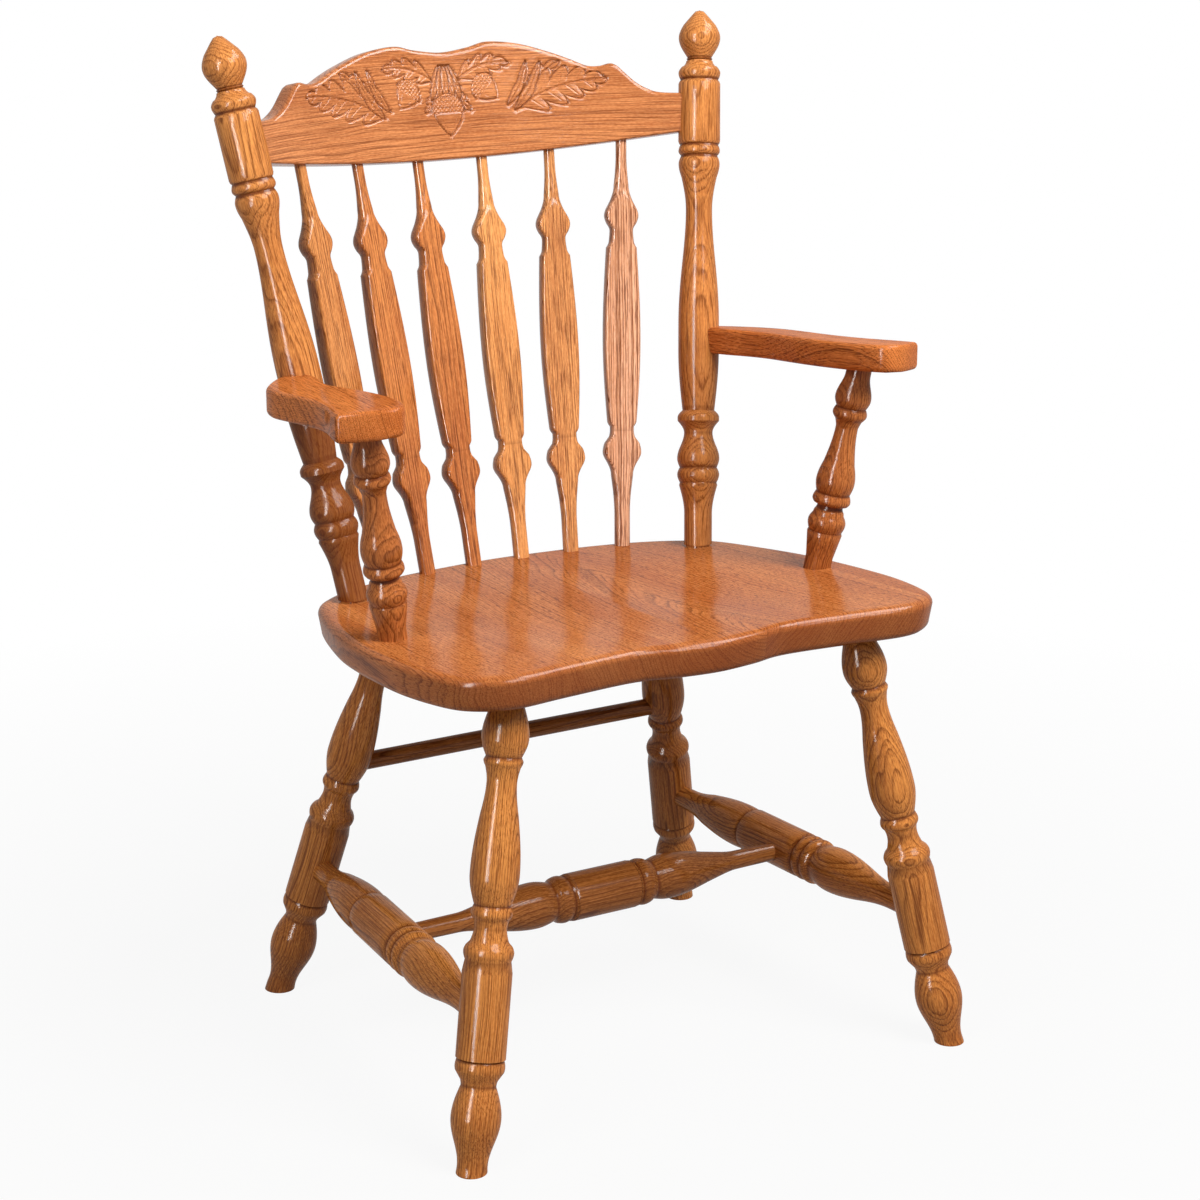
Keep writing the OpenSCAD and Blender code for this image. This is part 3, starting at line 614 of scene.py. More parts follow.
@dataclass(frozen=True)
class SeatBoard:
    """The seat: a board with a shaped outline, a soft edge and two shallow dishes."""

    gauge: Gauge = Gauge()
    width: float = 598
    front: float = 380
    back: float = 97
    edge_reach: float = 11
    edge_drop: float = 9
    undercut: float = 3
    bottom_round: float = 9
    dish_depth: float = 6
    smooth: int = 10
    # Shares of the way from the middle to the outline, on the underside
    bottom: tuple[float, ...] = (0.0, 0.3, 0.6, 0.85)
    top_rows: int = 26
    plan: tuple[Pair, ...] = (
        (0, 1), (0.22, 0.95), (0.43, 0.85), (0.62, 0.66), (0.765, 0.38), (0.85, 0.06),
        (0.93, -0.176), (0.978, -0.35), (1, -0.58), (0.993, -0.737), (0.95, -0.89),
        (0.866, -0.966), (0.753, -0.995), (0.55, -0.975), (0.3, -0.957), (0.157, -0.984), (0, -1),
    )
    finish: Oak = SEAT_OAK

    def outline(self) -> np.ndarray:
        """Gives the points of the outline, anticlockwise from the middle of the front edge.

        Returns:
            A row of X and Y for each point.
        """
        half = [(x * self.width / 2, y * (self.back if y > 0 else self.front)) for x, y in self.plan]
        knots = half[::-1] + [(-x, y) for x, y in half[1:-1]]
        return np.array([catmull(knots, i / self.smooth, True) for i in range(len(knots) * self.smooth)])

    def dish(self, x: float, y: float) -> float:
        """Gives the depth of the two dishes at a place.

        Args:
            x: Place to the right of the middle.
            y: Place behind the gauge line.

        Returns:
            The depth below the seat's plane.
        """

        def bump(d: float, w: float) -> float:
            """Gives a soft bump of 1 in the middle and 0 from w outwards."""
            return (1 + math.cos(math.pi * d / w)) / 2 if abs(d) < w else 0.0

        half = self.width / 2
        return self.dish_depth * bump(abs(x) - half / 3, half / 2) * bump(y + self.front / 2, self.front / 2)

    def build(self) -> None:
        """Builds the board in place of the plain solid."""
        outline = self.outline()
        around = np.roll(outline, -1, 0) - np.roll(outline, 1, 0)
        normal = np.stack([-around[:, 1], around[:, 0]], 1) / np.linalg.norm(around, axis=1)[:, None]
        # The rows of the mesh close on this point
        middle = np.array([0, -0.4 * self.front])
        turns = [math.radians(a) for a in range(0, 91, 15)]
        r, thick = self.bottom_round, self.gauge.seat_t
        low = [(self.undercut + r * (1 - math.sin(a)), thick - r * (1 - math.cos(a))) for a in turns]
        high = [(self.edge_reach * (1 - math.cos(a)), self.edge_drop * (1 - math.sin(a))) for a in turns]
        edge = low + high
        shares = [1 - (k / self.top_rows) ** 1.15 for k in range(1, self.top_rows + 1)]

        def place(i: int, k: int) -> Point:
            """Places a point of the skin.

            Args:
                i: Column, round the section.
                k: Row, from end to end.

            Returns:
                The point in millimetres.
            """
            row = k - len(self.bottom)
            if row < 0:
                p = middle + self.bottom[k] * (outline[i] + low[0][0] * normal[i] - middle)
                drop = thick
            elif row < len(edge):
                reach, drop = edge[row]
                p = outline[i] + reach * normal[i]
            else:
                p = middle + shares[row - len(edge)] * (outline[i] + self.edge_reach * normal[i] - middle)
                drop = self.dish(p[0], p[1])
            drop /= math.cos(math.radians(self.gauge.seat_tilt))
            return (p[0], p[1] + GAUGE_Y, self.gauge.seat_z(p[1]) - drop)

        def notes(i: int, k: int) -> tuple[Point, float]:
            """Notes what the finish needs at a point.

            Args:
                i: Column, round the section.
                k: Row, from end to end.

            Returns:
                The place along the bend, and how much darker the wood is there from painted shade and end
                grain.
            """
            row = k - len(self.bottom)
            rim = 1.0 if row < len(low) else max(0.0, 1 - (row - len(low)) / (len(high) - 1))
            # Painted shade: the edge and the underside are darker, fading out over the top rounding; the end
            # grain of the front and the back drinks more of the stain, so these get more of it than the sides
            # do
            return (0.0, 0.0, 0.0), rim * (0.3 + 0.7 * abs(float(normal[i][1])))

        rows = len(self.bottom) + len(edge) + len(shares)
        seat = wrapped_mesh("seat_board", len(outline), rows - 1, place, notes)
        grain = Grain((95, 0, 520), (0, -1, -0.06), pith=(0, 62), seed=40)
        stand_in(seat, "seat", self.finish.material("oak_planed_seat", grain))


# Depth and half width of the cut round each carved shape
CUT_DEPTH, CUT_HALF = 1.8, 1.4


def fade(distance: np.ndarray, reach: float) -> np.ndarray:
    """Gives 1 where there is no distance, falling to 0 at the reach."""
    return np.clip(1 - distance / reach, 0, 1)


def beside(s: np.ndarray, v: np.ndarray, start: Pair, way: Sequence[float]) -> tuple[np.ndarray, np.ndarray]:
    """Gives how far places lie along a direction from its start, and how far to its left."""
    ds, dv = s - start[0], v - start[1]
    return ds * way[0] + dv * way[1], dv * way[0] - ds * way[1]


def sunk(
    height: np.ndarray, body: np.ndarray, inside: np.ndarray, edge: np.ndarray, gap: np.ndarray, ground: Pair
) -> np.ndarray:
    """Sets a carved shape into a surface.

    Args:
        height: Height of the surface before the cut.
        body: Height of the shape.
        inside: True on the shape.
        edge: Distance from the shape's edge.
        gap: Distance outside of the shape.
        ground: Depth of the ground beside the shape, and how far out it rises to the surface.

    Returns:
        The height after the cut.
    """
    depth, reach = ground
    around = np.where(gap < reach, np.minimum(height, -depth * fade(gap, reach)), height)
    return np.where(inside, body, around) - CUT_DEPTH * fade(edge, CUT_HALF)


@dataclass(frozen=True)
class Leaf:
    """One lobed leaf of the carved spray.

    Attributes:
        base: Place of its foot on the rail: along the bend and up, in millimetres.
        tip: Place of its tip.
        bow: How far the midrib bows out of the straight line.
        half: Greatest half width.
        lobes: Count of lobes on each side.
        depth: How deep the lobes are cut, as a share of the half width.
    """

    base: Pair
    tip: Pair
    bow: float
    half: float
    lobes: float = 4.0
    depth: float = 0.38

    def cut(self, s: np.ndarray, v: np.ndarray, height: np.ndarray) -> np.ndarray:
        """Cuts the leaf into a surface.

        Args:
            s: Places along the bend.
            v: Places up the rail.
            height: Height of the surface before the cut.

        Returns:
            The height after it.
        """
        span = np.subtract(self.tip, self.base)
        length = np.linalg.norm(span)
        x, y = beside(s, v, self.base, span / length)
        t = np.clip(x / length, 0, 1)
        y = y - self.bow * 4 * t * (1 - t)
        off = np.abs(y)
        envelope = np.sin(np.pi * t**0.85) ** 0.6
        # Lobes lean towards the tip and end in a blunt point
        count = self.lobes * np.clip(t - 0.8 * off / length + 0.04 * np.sign(y), 0, 0.999)
        along = count % 1.0
        lobe = np.sin(np.pi * along**1.3) ** 0.55
        width = np.maximum(self.half * envelope * (1 - self.depth * (1 - lobe)), 0.6)
        past = np.abs(x - t * length)
        gap = np.hypot(np.maximum(off - width, 0), past)
        inside = (off < width) & (past < 0.01)
        share = off / width
        # Each lobe has a vein in its hollow, and the midrib is cut deepest
        from_vein = along - 0.62
        body = -0.3 - 0.7 * share**2 + 0.5 * share * np.cos(2 * np.pi * from_vein)
        body -= 0.9 * fade(np.abs(from_vein) * length / self.lobes, 1.0) * (share < 0.75)
        body -= 1.7 * fade(off, 1.7)
        return sunk(height, body, inside, np.where(inside, width - off, gap), gap, (0.9, 4.0))


@dataclass(frozen=True)
class Acorn:
    """One acorn of the carved spray.

    Attributes:
        centre: Middle of the rim of its cup: along the bend and up, in millimetres.
        turn: Direction of its point in degrees, with 0 along the bend and 90 up.
        half: Half width of the cup.
        nut: Length of the nut from the cup's rim.
        cup: Length of the cup.
        scales: Width of two of the cup's scales.
    """

    centre: Pair
    turn: float
    half: float = 13.0
    nut: float = 20.0
    cup: float = 13.0
    scales: float = 4.8

    def cut(self, s: np.ndarray, v: np.ndarray, height: np.ndarray) -> np.ndarray:
        """Cuts the acorn into a surface, as Leaf.cut does.

        Args:
            s: Places along the bend.
            v: Places up the rail.
            height: Height of the surface before the cut.

        Returns:
            The height after it.
        """
        turn = math.radians(self.turn)
        x, y = beside(s, v, self.centre, (math.cos(turn), math.sin(turn)))
        # The nut narrows to a point and the cup is half an egg
        nut_width = 0.86 * self.half * np.clip(1 - np.clip(x / self.nut, 0, 1) ** 1.7, 0, 1)
        cup_width = self.half * np.sqrt(np.clip(1 - (x / self.cup) ** 2, 0, 1))
        rim = 1.0
        width = np.where(x > rim, nut_width, cup_width)
        off = np.abs(y)
        inside = (off < width) & (x > -self.cup) & (x < self.nut)
        share = np.clip(off / np.maximum(width, 0.01), 0, 1)
        dome = np.sqrt(1 - share**2)
        # A facet line runs down each side of the nut, and the cup has crossed cuts
        nut = -0.5 + 1.1 * dome - 1.2 * fade(x - rim, 1.5)
        nut -= 0.5 * fade(np.abs(share - 0.55) * width, 0.9) * (x > 0.25 * self.nut)
        checks = np.minimum(*(np.abs(d / self.scales % 1 - 0.5) for d in (s + v, s - v)))
        cup = -0.8 + 1.0 * dome - 1.1 * fade(checks, 0.25)
        body = np.where(x > rim, nut, cup)
        gap = np.maximum(off - width, 0) + np.maximum(x - self.nut, 0) + np.maximum(-self.cup - x, 0)
        return sunk(height, body, inside, np.where(inside, width - off, gap), gap, (0.8, 3.5))


# A point of the rail's section: depth, share of the height, offset up, and whether it is carved
Spot = tuple[float, float, float, bool]


@dataclass(frozen=True)
class CrestRail:
    """The scalloped and carved rail between the back posts."""

    gauge: Gauge = Gauge()
    height: float = 897.5
    rise: float = 122.5
    bow: float = 24
    bend: float = 500
    thickness: float = 24
    top_round: float = 5.5
    low_round: float = 2.7
    scallop: tuple[Pair, ...] = (
        (0, 0.925), (0.122, 0.958), (0.209, 1), (0.339, 0.971), (0.462, 0.891), (0.541, 0.824),
        (0.606, 0.763), (0.655, 0.758), (0.692, 0.778), (0.718, 0.766), (0.747, 0.699),
        (0.783, 0.615), (0.823, 0.556), (0.877, 0.519), (1.02, 0.515),
    )
    # Pitch of the mesh where it is carved and beside it, in millimetres
    fine: float = 0.8
    coarse: float = 4.0
    carved_half: float = 196
    plain_rows: int = 8
    plain_share: float = 0.17
    carved_rows: int = 148
    back_rows: int = 8
    # Count of points that the scallop is drawn with
    samples: int = 1200
    # Depth from which a carved hollow starts to hold the stain, and over which it gets darker
    stain_from: float = 1.1
    stain_over: float = 1.4
    # Place of the middle along the tree
    grain_at: float = 700
    finish: Oak = CREST_OAK

    def spray(self) -> list[Leaf | Acorn]:
        """Gives the leaves and acorns in the order in which they cover each other.

        Returns:
            The shapes, from the lowest to the one on top.
        """
        shapes: list[Leaf | Acorn] = []
        for side in (-1, 1):
            for base, tip, bow, *form in (
                ((96, 62), (136, 99), 4, 10, 3, 0.6),
                ((82, 51), (188, 79), 7, 21, 5, 0.62),
                ((80, 48), (114, 99), -4, 6, 2, 0.3),
                ((72, 54), (98, 100), -4, 5, 2, 0.3),
                ((16, 84), (78, 99), 6, 12, 4, 0.6),
                ((8, 86), (28, 50), -4, 8, 3, 0.5),
            ):
                shapes.append(Leaf((side * base[0], base[1]), (side * tip[0], tip[1]), side * bow, *form))
        shapes += [Acorn((-48, 72), -128, 16, 19, 14), Acorn((46, 74), -40, 16, 19, 14)]
        # A small fan of straight leaflets hangs over the middle acorn
        shapes += [Leaf((3 * k, 99), (9 * k, 62), 0, 4.5, 1, 0.1) for k in (-2, 2, -1, 1, 0)]
        return [*shapes, Acorn((0, 50), -90, 20, 26, 19)]

    def end(self) -> Vector:
        """Gives the middle of the joint with the right post.

        Returns:
            The point on the gauge.
        """
        z = self.height + self.bow + self.rise / 6
        up, gauge = z - self.gauge.seat_h, self.gauge
        return Vector((gauge.post_x + up * tangent(gauge.post_splay), up * tangent(gauge.recline), z))

    def spindle_top(self, x: float) -> Vector:
        """Gives the place on the rail's lower edge where a spindle enters it.

        Args:
            x: Place along the rail, to the right of its middle.

        Returns:
            The point on the gauge.
        """
        end = self.end()
        z = self.height + self.bow * (x / end.x) ** 2
        a = math.asin(x / self.bend)
        y = end.y - math.sqrt(self.bend**2 - end.x**2) + self.bend * math.cos(a)
        return Vector((self.bend * math.sin(a), y + (z - end.z) * tangent(self.gauge.recline), z))

    def build(self) -> None:
        """Builds the rail in place of the plain solid."""
        end = self.end()
        centre_y = end.y - math.sqrt(self.bend**2 - end.x**2)
        knots = [(-x, y) for x, y in self.scallop[:0:-1]] + list(self.scallop)
        curve = np.array([catmull(knots, t, False) for t in np.linspace(0, len(knots) - 1, self.samples)])
        half, reach = self.carved_half, self.scallop[-1][0] * end.x
        middle = np.linspace(-half, half, round(2 * half / self.fine))
        side = np.linspace(half, reach, round((reach - half) / self.coarse))[1:]
        xs = np.concatenate([-side[::-1], middle, side])
        tops = self.height + np.interp(xs / end.x, curve[:, 0], curve[:, 1]) * self.rise
        lows = self.height + self.bow * (xs / end.x) ** 2
        section = self._section()
        heights = self._carve(xs, lows, tops, section)
        lean = math.radians(self.gauge.recline)

        def place(i: int, k: int) -> Point:
            """Places a point of the skin.

            Args:
                i: Column, round the section.
                k: Row, from end to end.

            Returns:
                The point in millimetres.
            """
            depth, anchor, offset, _ = section[i]
            z = lows[k] + anchor * (tops[k] - lows[k]) + offset
            back = depth - heights[i, k]
            radius = self.bend + back * math.cos(lean)
            a = math.asin(xs[k] / self.bend)
            y = centre_y + radius * math.cos(a) + (z - end.z) * math.tan(lean)
            return (radius * math.sin(a), y + GAUGE_Y, z - back * math.sin(lean))

        def notes(i: int, k: int) -> tuple[Point, float]:
            """Notes what the finish needs at a point.

            Args:
                i: Column, round the section.
                k: Row, from end to end.

            Returns:
                The place along the bend and the depth of the hollow.
            """
            depth, anchor, offset, _ = section[i]
            up = lows[k] + anchor * (tops[k] - lows[k]) + offset - self.height
            arc = self.bend * math.asin(xs[k] / self.bend)
            stain = np.clip(-self.stain_from - heights[i, k], 0, self.stain_over) / self.stain_over
            return (depth + heights[i, k], up, arc + self.grain_at), float(stain)

        rail = wrapped_mesh("crest_carved", len(section), len(xs) - 1, place, notes)
        grain = Grain((0, 0, 0), (0, 0, 1), pith=(46, -30))
        oak = self.finish.material("oak_carved_crest", grain, Follows.BEND)
        stand_in(rail, "crest_rail", oak)

    def _section(self) -> list[Spot]:
        """Gives the points of the section, from the lower front edge over the top to the back.

        Returns:
            The points in the order in which they go round.
        """
        h = self.thickness / 2
        r, f = self.top_round, self.low_round
        plain = self.plain_share
        turns = [(math.sin(a), math.cos(a)) for a in map(math.radians, (0, 18, 36, 54, 72, 90))]
        points = [(-h + f - f * s, 0.0, f - f * c, False) for s, c in turns]
        face = [plain * k / self.plain_rows for k in range(1, self.plain_rows)]
        face += [plain + (1 - plain) * k / self.carved_rows for k in range(self.carved_rows)]
        points += [(-h, share, f + (-r - f) * share, True) for share in face]
        points += [(-h + r - r * c, 1.0, -r + r * s, False) for s, c in turns]
        points += [(h - r + r * s, 1.0, -r + r * c, False) for s, c in turns]
        points += [(h, 1 - k / self.back_rows, 0.0, False) for k in range(1, self.back_rows)]
        return points + [(h - f + f * c, 0.0, f - f * s, False) for s, c in turns]

    def _carve(self, xs: np.ndarray, lows: np.ndarray, tops: np.ndarray, section: list[Spot]) -> np.ndarray:
        """Gives the height of the carving for each point of the section at each place.

        Args:
            xs: Places along the rail.
            lows: Height of the lower edge there.
            tops: Height of the upper edge there.
            section: The section's points.

        Returns:
            A row of heights for each point, with 0 where it isn't carved.
        """
        _, share, offset, carved = (np.array(column)[:, None] for column in zip(*section))
        v = lows[None, :] + share * (tops - lows)[None, :] + offset - self.height
        s = np.broadcast_to((self.bend - self.thickness / 2) * np.arcsin(xs / self.bend), v.shape)
        height = np.zeros(v.shape)
        for shape in self.spray():
            height = shape.cut(s, v, height)
        return np.where(carved, height, 0.0)


@dataclass(frozen=True)
class Arm:
    """A shaped arm: a board with rounded edges that falls a little towards its outer edge."""

    gauge: Gauge = Gauge()
    on_post: Pair = (245.1, 49.2)
    round: float = 5.5
    smooth: int = 5
    # Share of the way from the arm post to the back post, inner edge and outer edge
    plan: tuple[Point, ...] = (
        (-0.255, -15.5, -10.5), (-0.25, -19.5, -3), (-0.24, -22, 4), (-0.22, -25, 14.5),
        (-0.19, -27.5, 27), (-0.165, -28.5, 36.5), (-0.152, -29, 41), (-0.14, -29.5, 42.5),
        (-0.12, -30, 42.5), (-0.06, -30.5, 41.5), (0.02, -30, 39), (0.12, -27.5, 36.5), (0.25, -22, 37.5),
        (0.4, -13.5, 43), (0.55, -5, 50.5), (0.68, -3, 55.5), (0.8, -6.5, 53), (0.88, -6.5, 45),
        (0.95, -4, 34.5), (1, 0, 21),
    )
    finish: Oak = ARM_OAK

    def top(self, x: float, y: float) -> float:
        """Gives the height of the top."""
        out = x - self.gauge.arm_post_top[0]
        return self.gauge.arm_h - out * tangent(self.gauge.arm_cant) - y * tangent(self.gauge.arm_tilt)

    def build(self, side: int) -> None:
        """Builds one arm in place of the plain solid.

        Args:
            side: -1 for the left arm and 1 for the right one.
        """
        count = (len(self.plan) - 1) * self.smooth
        rows = [catmull(self.plan, t / self.smooth, False) for t in range(count + 1)]
        quarter = [(math.cos(a), math.sin(a)) for a in map(math.radians, range(0, 91, 15))]
        front = self._spot(self.plan[0][0], 0)[1]

        def place(i: int, k: int) -> Point:
            """Places a point of the skin.

            Args:
                i: Column, round the section.
                k: Row, from end to end.

            Returns:
                The point in millimetres.
            """
            share, near, far = rows[k]
            inner, y = self._spot(share, near)
            outer = self._spot(share, far)[0]
            d = y - front
            r = min(self.round, (outer - inner) / 3)
            drop = self.round - math.sqrt(self.round**2 - (self.round - d) ** 2) if d < self.round else 0.0
            corner, step = divmod(i, len(quarter))
            c, w = (r * part for part in quarter[step])
            if corner in (1, 2):
                x, inset = (inner + r - w, r - c) if corner == 1 else (inner + r - c, r - w)
            else:
                x, inset = (outer - r + c, r - w) if corner == 0 else (outer - r + w, r - c)
            if corner < 2:
                return (side * x, y + GAUGE_Y, self.top(x, y) - drop - inset)
            return (side * x, y + GAUGE_Y, self.top(x, y) - self.gauge.arm_depth() + drop + inset)

        name = "left" if side < 0 else "right"
        arm = wrapped_mesh(f"arm_shaped_{name}", 4 * len(quarter), len(rows) - 1, place)
        grain = Grain((side * 262, 0, 700), (side * -0.19, 1, -0.067), pith=(110, -60), seed=side * 130)
        stand_in(arm, f"arm_{name}", self.finish.material(f"oak_shaped_arm_{name}", grain))

    def _spot(self, share: float, out: float) -> Pair:
        """Gives the plan place at a share of the way back and a distance out."""
        (x, y), (back_x, back_y) = self.gauge.arm_post_top, self.on_post
        return (x + (back_x - x) * share + out, y + (back_y - y) * share)


class Run(Enum):
    """Form of one run of a turned outline."""

    LINE = "straight"
    WAVE = "S-shaped"
    LANDS = "starts steep and ends level"
    LEAVES = "starts level and ends steep"

    def share(self, t: float) -> float:
        """Gives the share of the change in radius at a share of the way.

        Args:
            t: Share of the way, from 0 to 1.

        Returns:
            The share, from 0 to 1.
        """
        if self is Run.WAVE:
            return (1 - math.cos(math.pi * t)) / 2
        if self is Run.LANDS:
            return math.sin(math.pi * t / 2)
        if self is Run.LEAVES:
            return 1 - math.cos(math.pi * t / 2)
        return t


# Distance along the piece, radius counted from the piece's own one, and the form of the run that
# ends there, where that isn't straight
Station = tuple[float, float] | tuple[float, float, Run]
WAVE, LANDS, LEAVES = Run.WAVE, Run.LANDS, Run.LEAVES


def from_end(length: float, stations: Sequence[Station]) -> list[Station]:
    """Turns stations counted from a piece's far end into distances from its start."""
    return [(length - d, *rest) for d, *rest in stations]


def mirrored(half: Sequence[Station]) -> list[Station]:
    """Adds the other half of a piece that is the same to both sides of its middle.

    Args:
        half: Stations from the middle to the far end.

    Returns:
        Stations from end to end, with 0 at the middle.
    """
    swap = {LANDS: LEAVES, LEAVES: LANDS}
    made = [(-half[-1][0], half[-1][1])]
    for near, far in zip(half[-2::-1], half[:0:-1]):
        made.append((-near[0], near[1], *(swap.get(form, form) for form in far[2:])))
    return made + list(half[1:])


# Greatest length of a step along a curved and along a straight run of an outline
CURVED_STEP, STRAIGHT_STEP = 2.0, 12.0


def outline_of(stations: Sequence[Station], r: float) -> list[Pair]:
    """Gives the outline's points as radius and distance.

    Args:
        stations: The outline's stations.
        r: Radius that their radii are counted from.

    Returns:
        The points from end to end.
    """
    points = [(r + stations[0][1], stations[0][0])]
    for (d0, r0, *_), (d1, r1, *form) in zip(stations, stations[1:]):
        run = form[0] if form else Run.LINE
        least, step = (5, CURVED_STEP) if form else (1, STRAIGHT_STEP)
        steps = max(least, math.ceil((d1 - d0) / step))
        for t in (k / steps for k in range(1, steps + 1)):
            points.append((r + r0 + (r1 - r0) * run.share(t), d0 + (d1 - d0) * t))
    return points


@dataclass
class Turner:
    """Turns a piece on the lathe, planes and saws it, and finishes it.

    Attributes:
        node: The frame's node that the piece stands for.
        slot: Not used.
        axis: Its axis.
        finish: The oak it is made of.
        pith: Where the tree's heart lies from the axis.
        turn: Turn of the rings about the axis, in degrees.
        seed: Moves the grain along the axis.
        steps: Count of faces round the piece.
        dark: How much painted shade darkens its low end, from 0 to 1.
        painted_shade_up_to: Where the low end ends, in millimetres from the foot.
    """

    node: str
    slot: str
    axis: Axis
    finish: Oak
    pith: Pair = (40.0, 20.0)
    turn: float = 0.0
    seed: float = 0.0
    steps: int = 72
    dark: float = 0.0
    painted_shade_up_to: float = 0.0

    def __post_init__(self) -> None:
        """Starts the piece's mesh."""
        self.bm = bmesh.new()
        self.hollow = self.bm.verts.layers.float.new("hollow")

    def spin(self, stations: Sequence[Station], r: float = 0.0) -> None:
        """Turns the outline about the axis.

        Args:
            stations: The outline's stations.
            r: Radius that their radii are counted from.
        """
        outline = outline_of(stations, r)
        verts = []
        for (radius, distance), hollow in zip(outline, self._hollows(outline)):
            v = self.bm.verts.new((radius * MM, 0, distance * MM))
            # Painted shade: the low end gets darker, fading in over 12 mm
            dark = self.dark * float(np.clip((self.painted_shade_up_to - distance) / 12, 0, 1))
            v[self.hollow] = min(1.0, hollow + dark)
            verts.append(v)
        edges = [self.bm.edges.new(pair) for pair in zip(verts, verts[1:])]
        bmesh.ops.spin(
            self.bm, geom=verts + edges, cent=(0, 0, 0), axis=(0, 0, 1), dvec=(0, 0, 0), angle=2 * math.pi,
            steps=self.steps, use_merge=True, use_duplicate=False, use_normal_flip=False,
        )
        bmesh.ops.remove_doubles(self.bm, verts=self.bm.verts, dist=SAME)

    def saw(self, point: Vector, normal: Vector) -> list[bmesh.types.BMEdge]:
        """Saws off what lies on the normal's side of a plane and closes the cut.

        Args:
            point: Point of the plane in the mesh's present frame, in metres.
            normal: Direction of the waste.

        Returns:
            The edges round the cut.
        """
        bm = self.bm
        geom = list(bm.verts) + list(bm.edges) + list(bm.faces)
        bmesh.ops.bisect_plane(
            bm, geom=geom, dist=1e-7, plane_co=point, plane_no=normal, clear_outer=True, clear_inner=False
        )
        open_edges = [e for e in bm.edges if e.is_boundary]
        rims = [e for e in open_edges if all(abs((v.co - point).dot(normal)) < 1e-5 for v in e.verts)]
        bmesh.ops.holes_fill(bm, edges=rims, sides=0)
        return [e for e in rims if e.is_valid]

    def plane(self, half: float, soft: float) -> None:
        """Planes the piece flat on both sides of its X axis and sands the edges round.

        The turned sides that are left get painted shade, darker than the planed faces.

        Args:
            half: Half the planed thickness in millimetres.
            soft: Half the depth over which the edges are rounded.
        """
        for v in self.bm.verts:
            x = abs(v.co.x) / MM
            # Painted shade: the turned sides beside the flats get darker
            if math.hypot(x, v.co.y / MM) > half + 1:
                v[self.hollow] = max(v[self.hollow], 0.5 * min(max((half - x) / soft, 0.0), 1.0))
            if x > half - soft:
                t = min((x - half + soft) / (2 * soft), 1.0)
                v.co.x = math.copysign((half - soft + 2 * soft * (t - t * t / 2)) * MM, v.co.x)

    def ease(self, edges: list[bmesh.types.BMEdge], width: float) -> None:
        """Takes the sharpness off edges, as sanding does.

        Args:
            edges: The edges.
            width: Width of the sanded edge in millimetres.
        """
        bmesh.ops.bevel(
            self.bm, geom=edges, offset=width * MM, offset_type="OFFSET", affect="EDGES", segments=2,
            profile=0.5, material=-1, clamp_overlap=True,
        )

    def place(self) -> None:
        """Moves the piece from the lathe to its axis."""
        bmesh.ops.transform(self.bm, matrix=self.axis.matrix(), verts=self.bm.verts)

    def finished(self, name: str = "") -> None:
        """Makes the object, finishes it and lets it stand for its node.

        Args:
            name: Name of the piece, where it isn't the node's own.
        """
        name = name or f"{self.node}_turned"
        close(self.bm)
        for e in self.bm.edges:
            e.smooth = len(e.link_faces) != 2 or e.calc_face_angle() < SHARP
        foot = self.axis.foot + Vector((0, GAUGE_Y, 0))
        grain = Grain(tuple(foot), tuple(self.axis.head - self.axis.foot), self.pith, self.turn, self.seed)
        stand_in(linked(name, self.bm), self.node, self.finish.material(f"oak_{name}", grain))

    def make(self, stations: Sequence[Station], r: float = 0.0, name: str = "") -> None:
        """Turns, places and finishes a piece that needs no saw or plane, as spin and finished do.

        Args:
            stations: The outline's stations.
            r: Radius that their radii are counted from.
            name: Name of the piece, where it isn't the node's own.
        """
        self.spin(stations, r)
        self.place()
        self.finished(name)

    @staticmethod
    def _hollows(outline: Sequence[Pair]) -> list[float]:
        """Gives how deep each point lies below the wood to both sides of it, from 0 to 1.

        Args:
            outline: Points as radius and distance.

        Returns:
            The share of the stain that stays at each point.
        """
        radii, places = np.array(outline, float).T
        # Looks 3 and 5 mm to each side; the stain starts to stay at 0.15 mm and is full 1.4 mm deeper
        made = []
        for radius, distance in outline:
            near = np.interp(distance + np.array([-5.0, -3.0, 3.0, 5.0]), places, radii)
            made.append(float(np.clip((min(near[:2].max(), near[2:].max()) - radius - 0.15) / 1.4, 0, 1)))
        return made


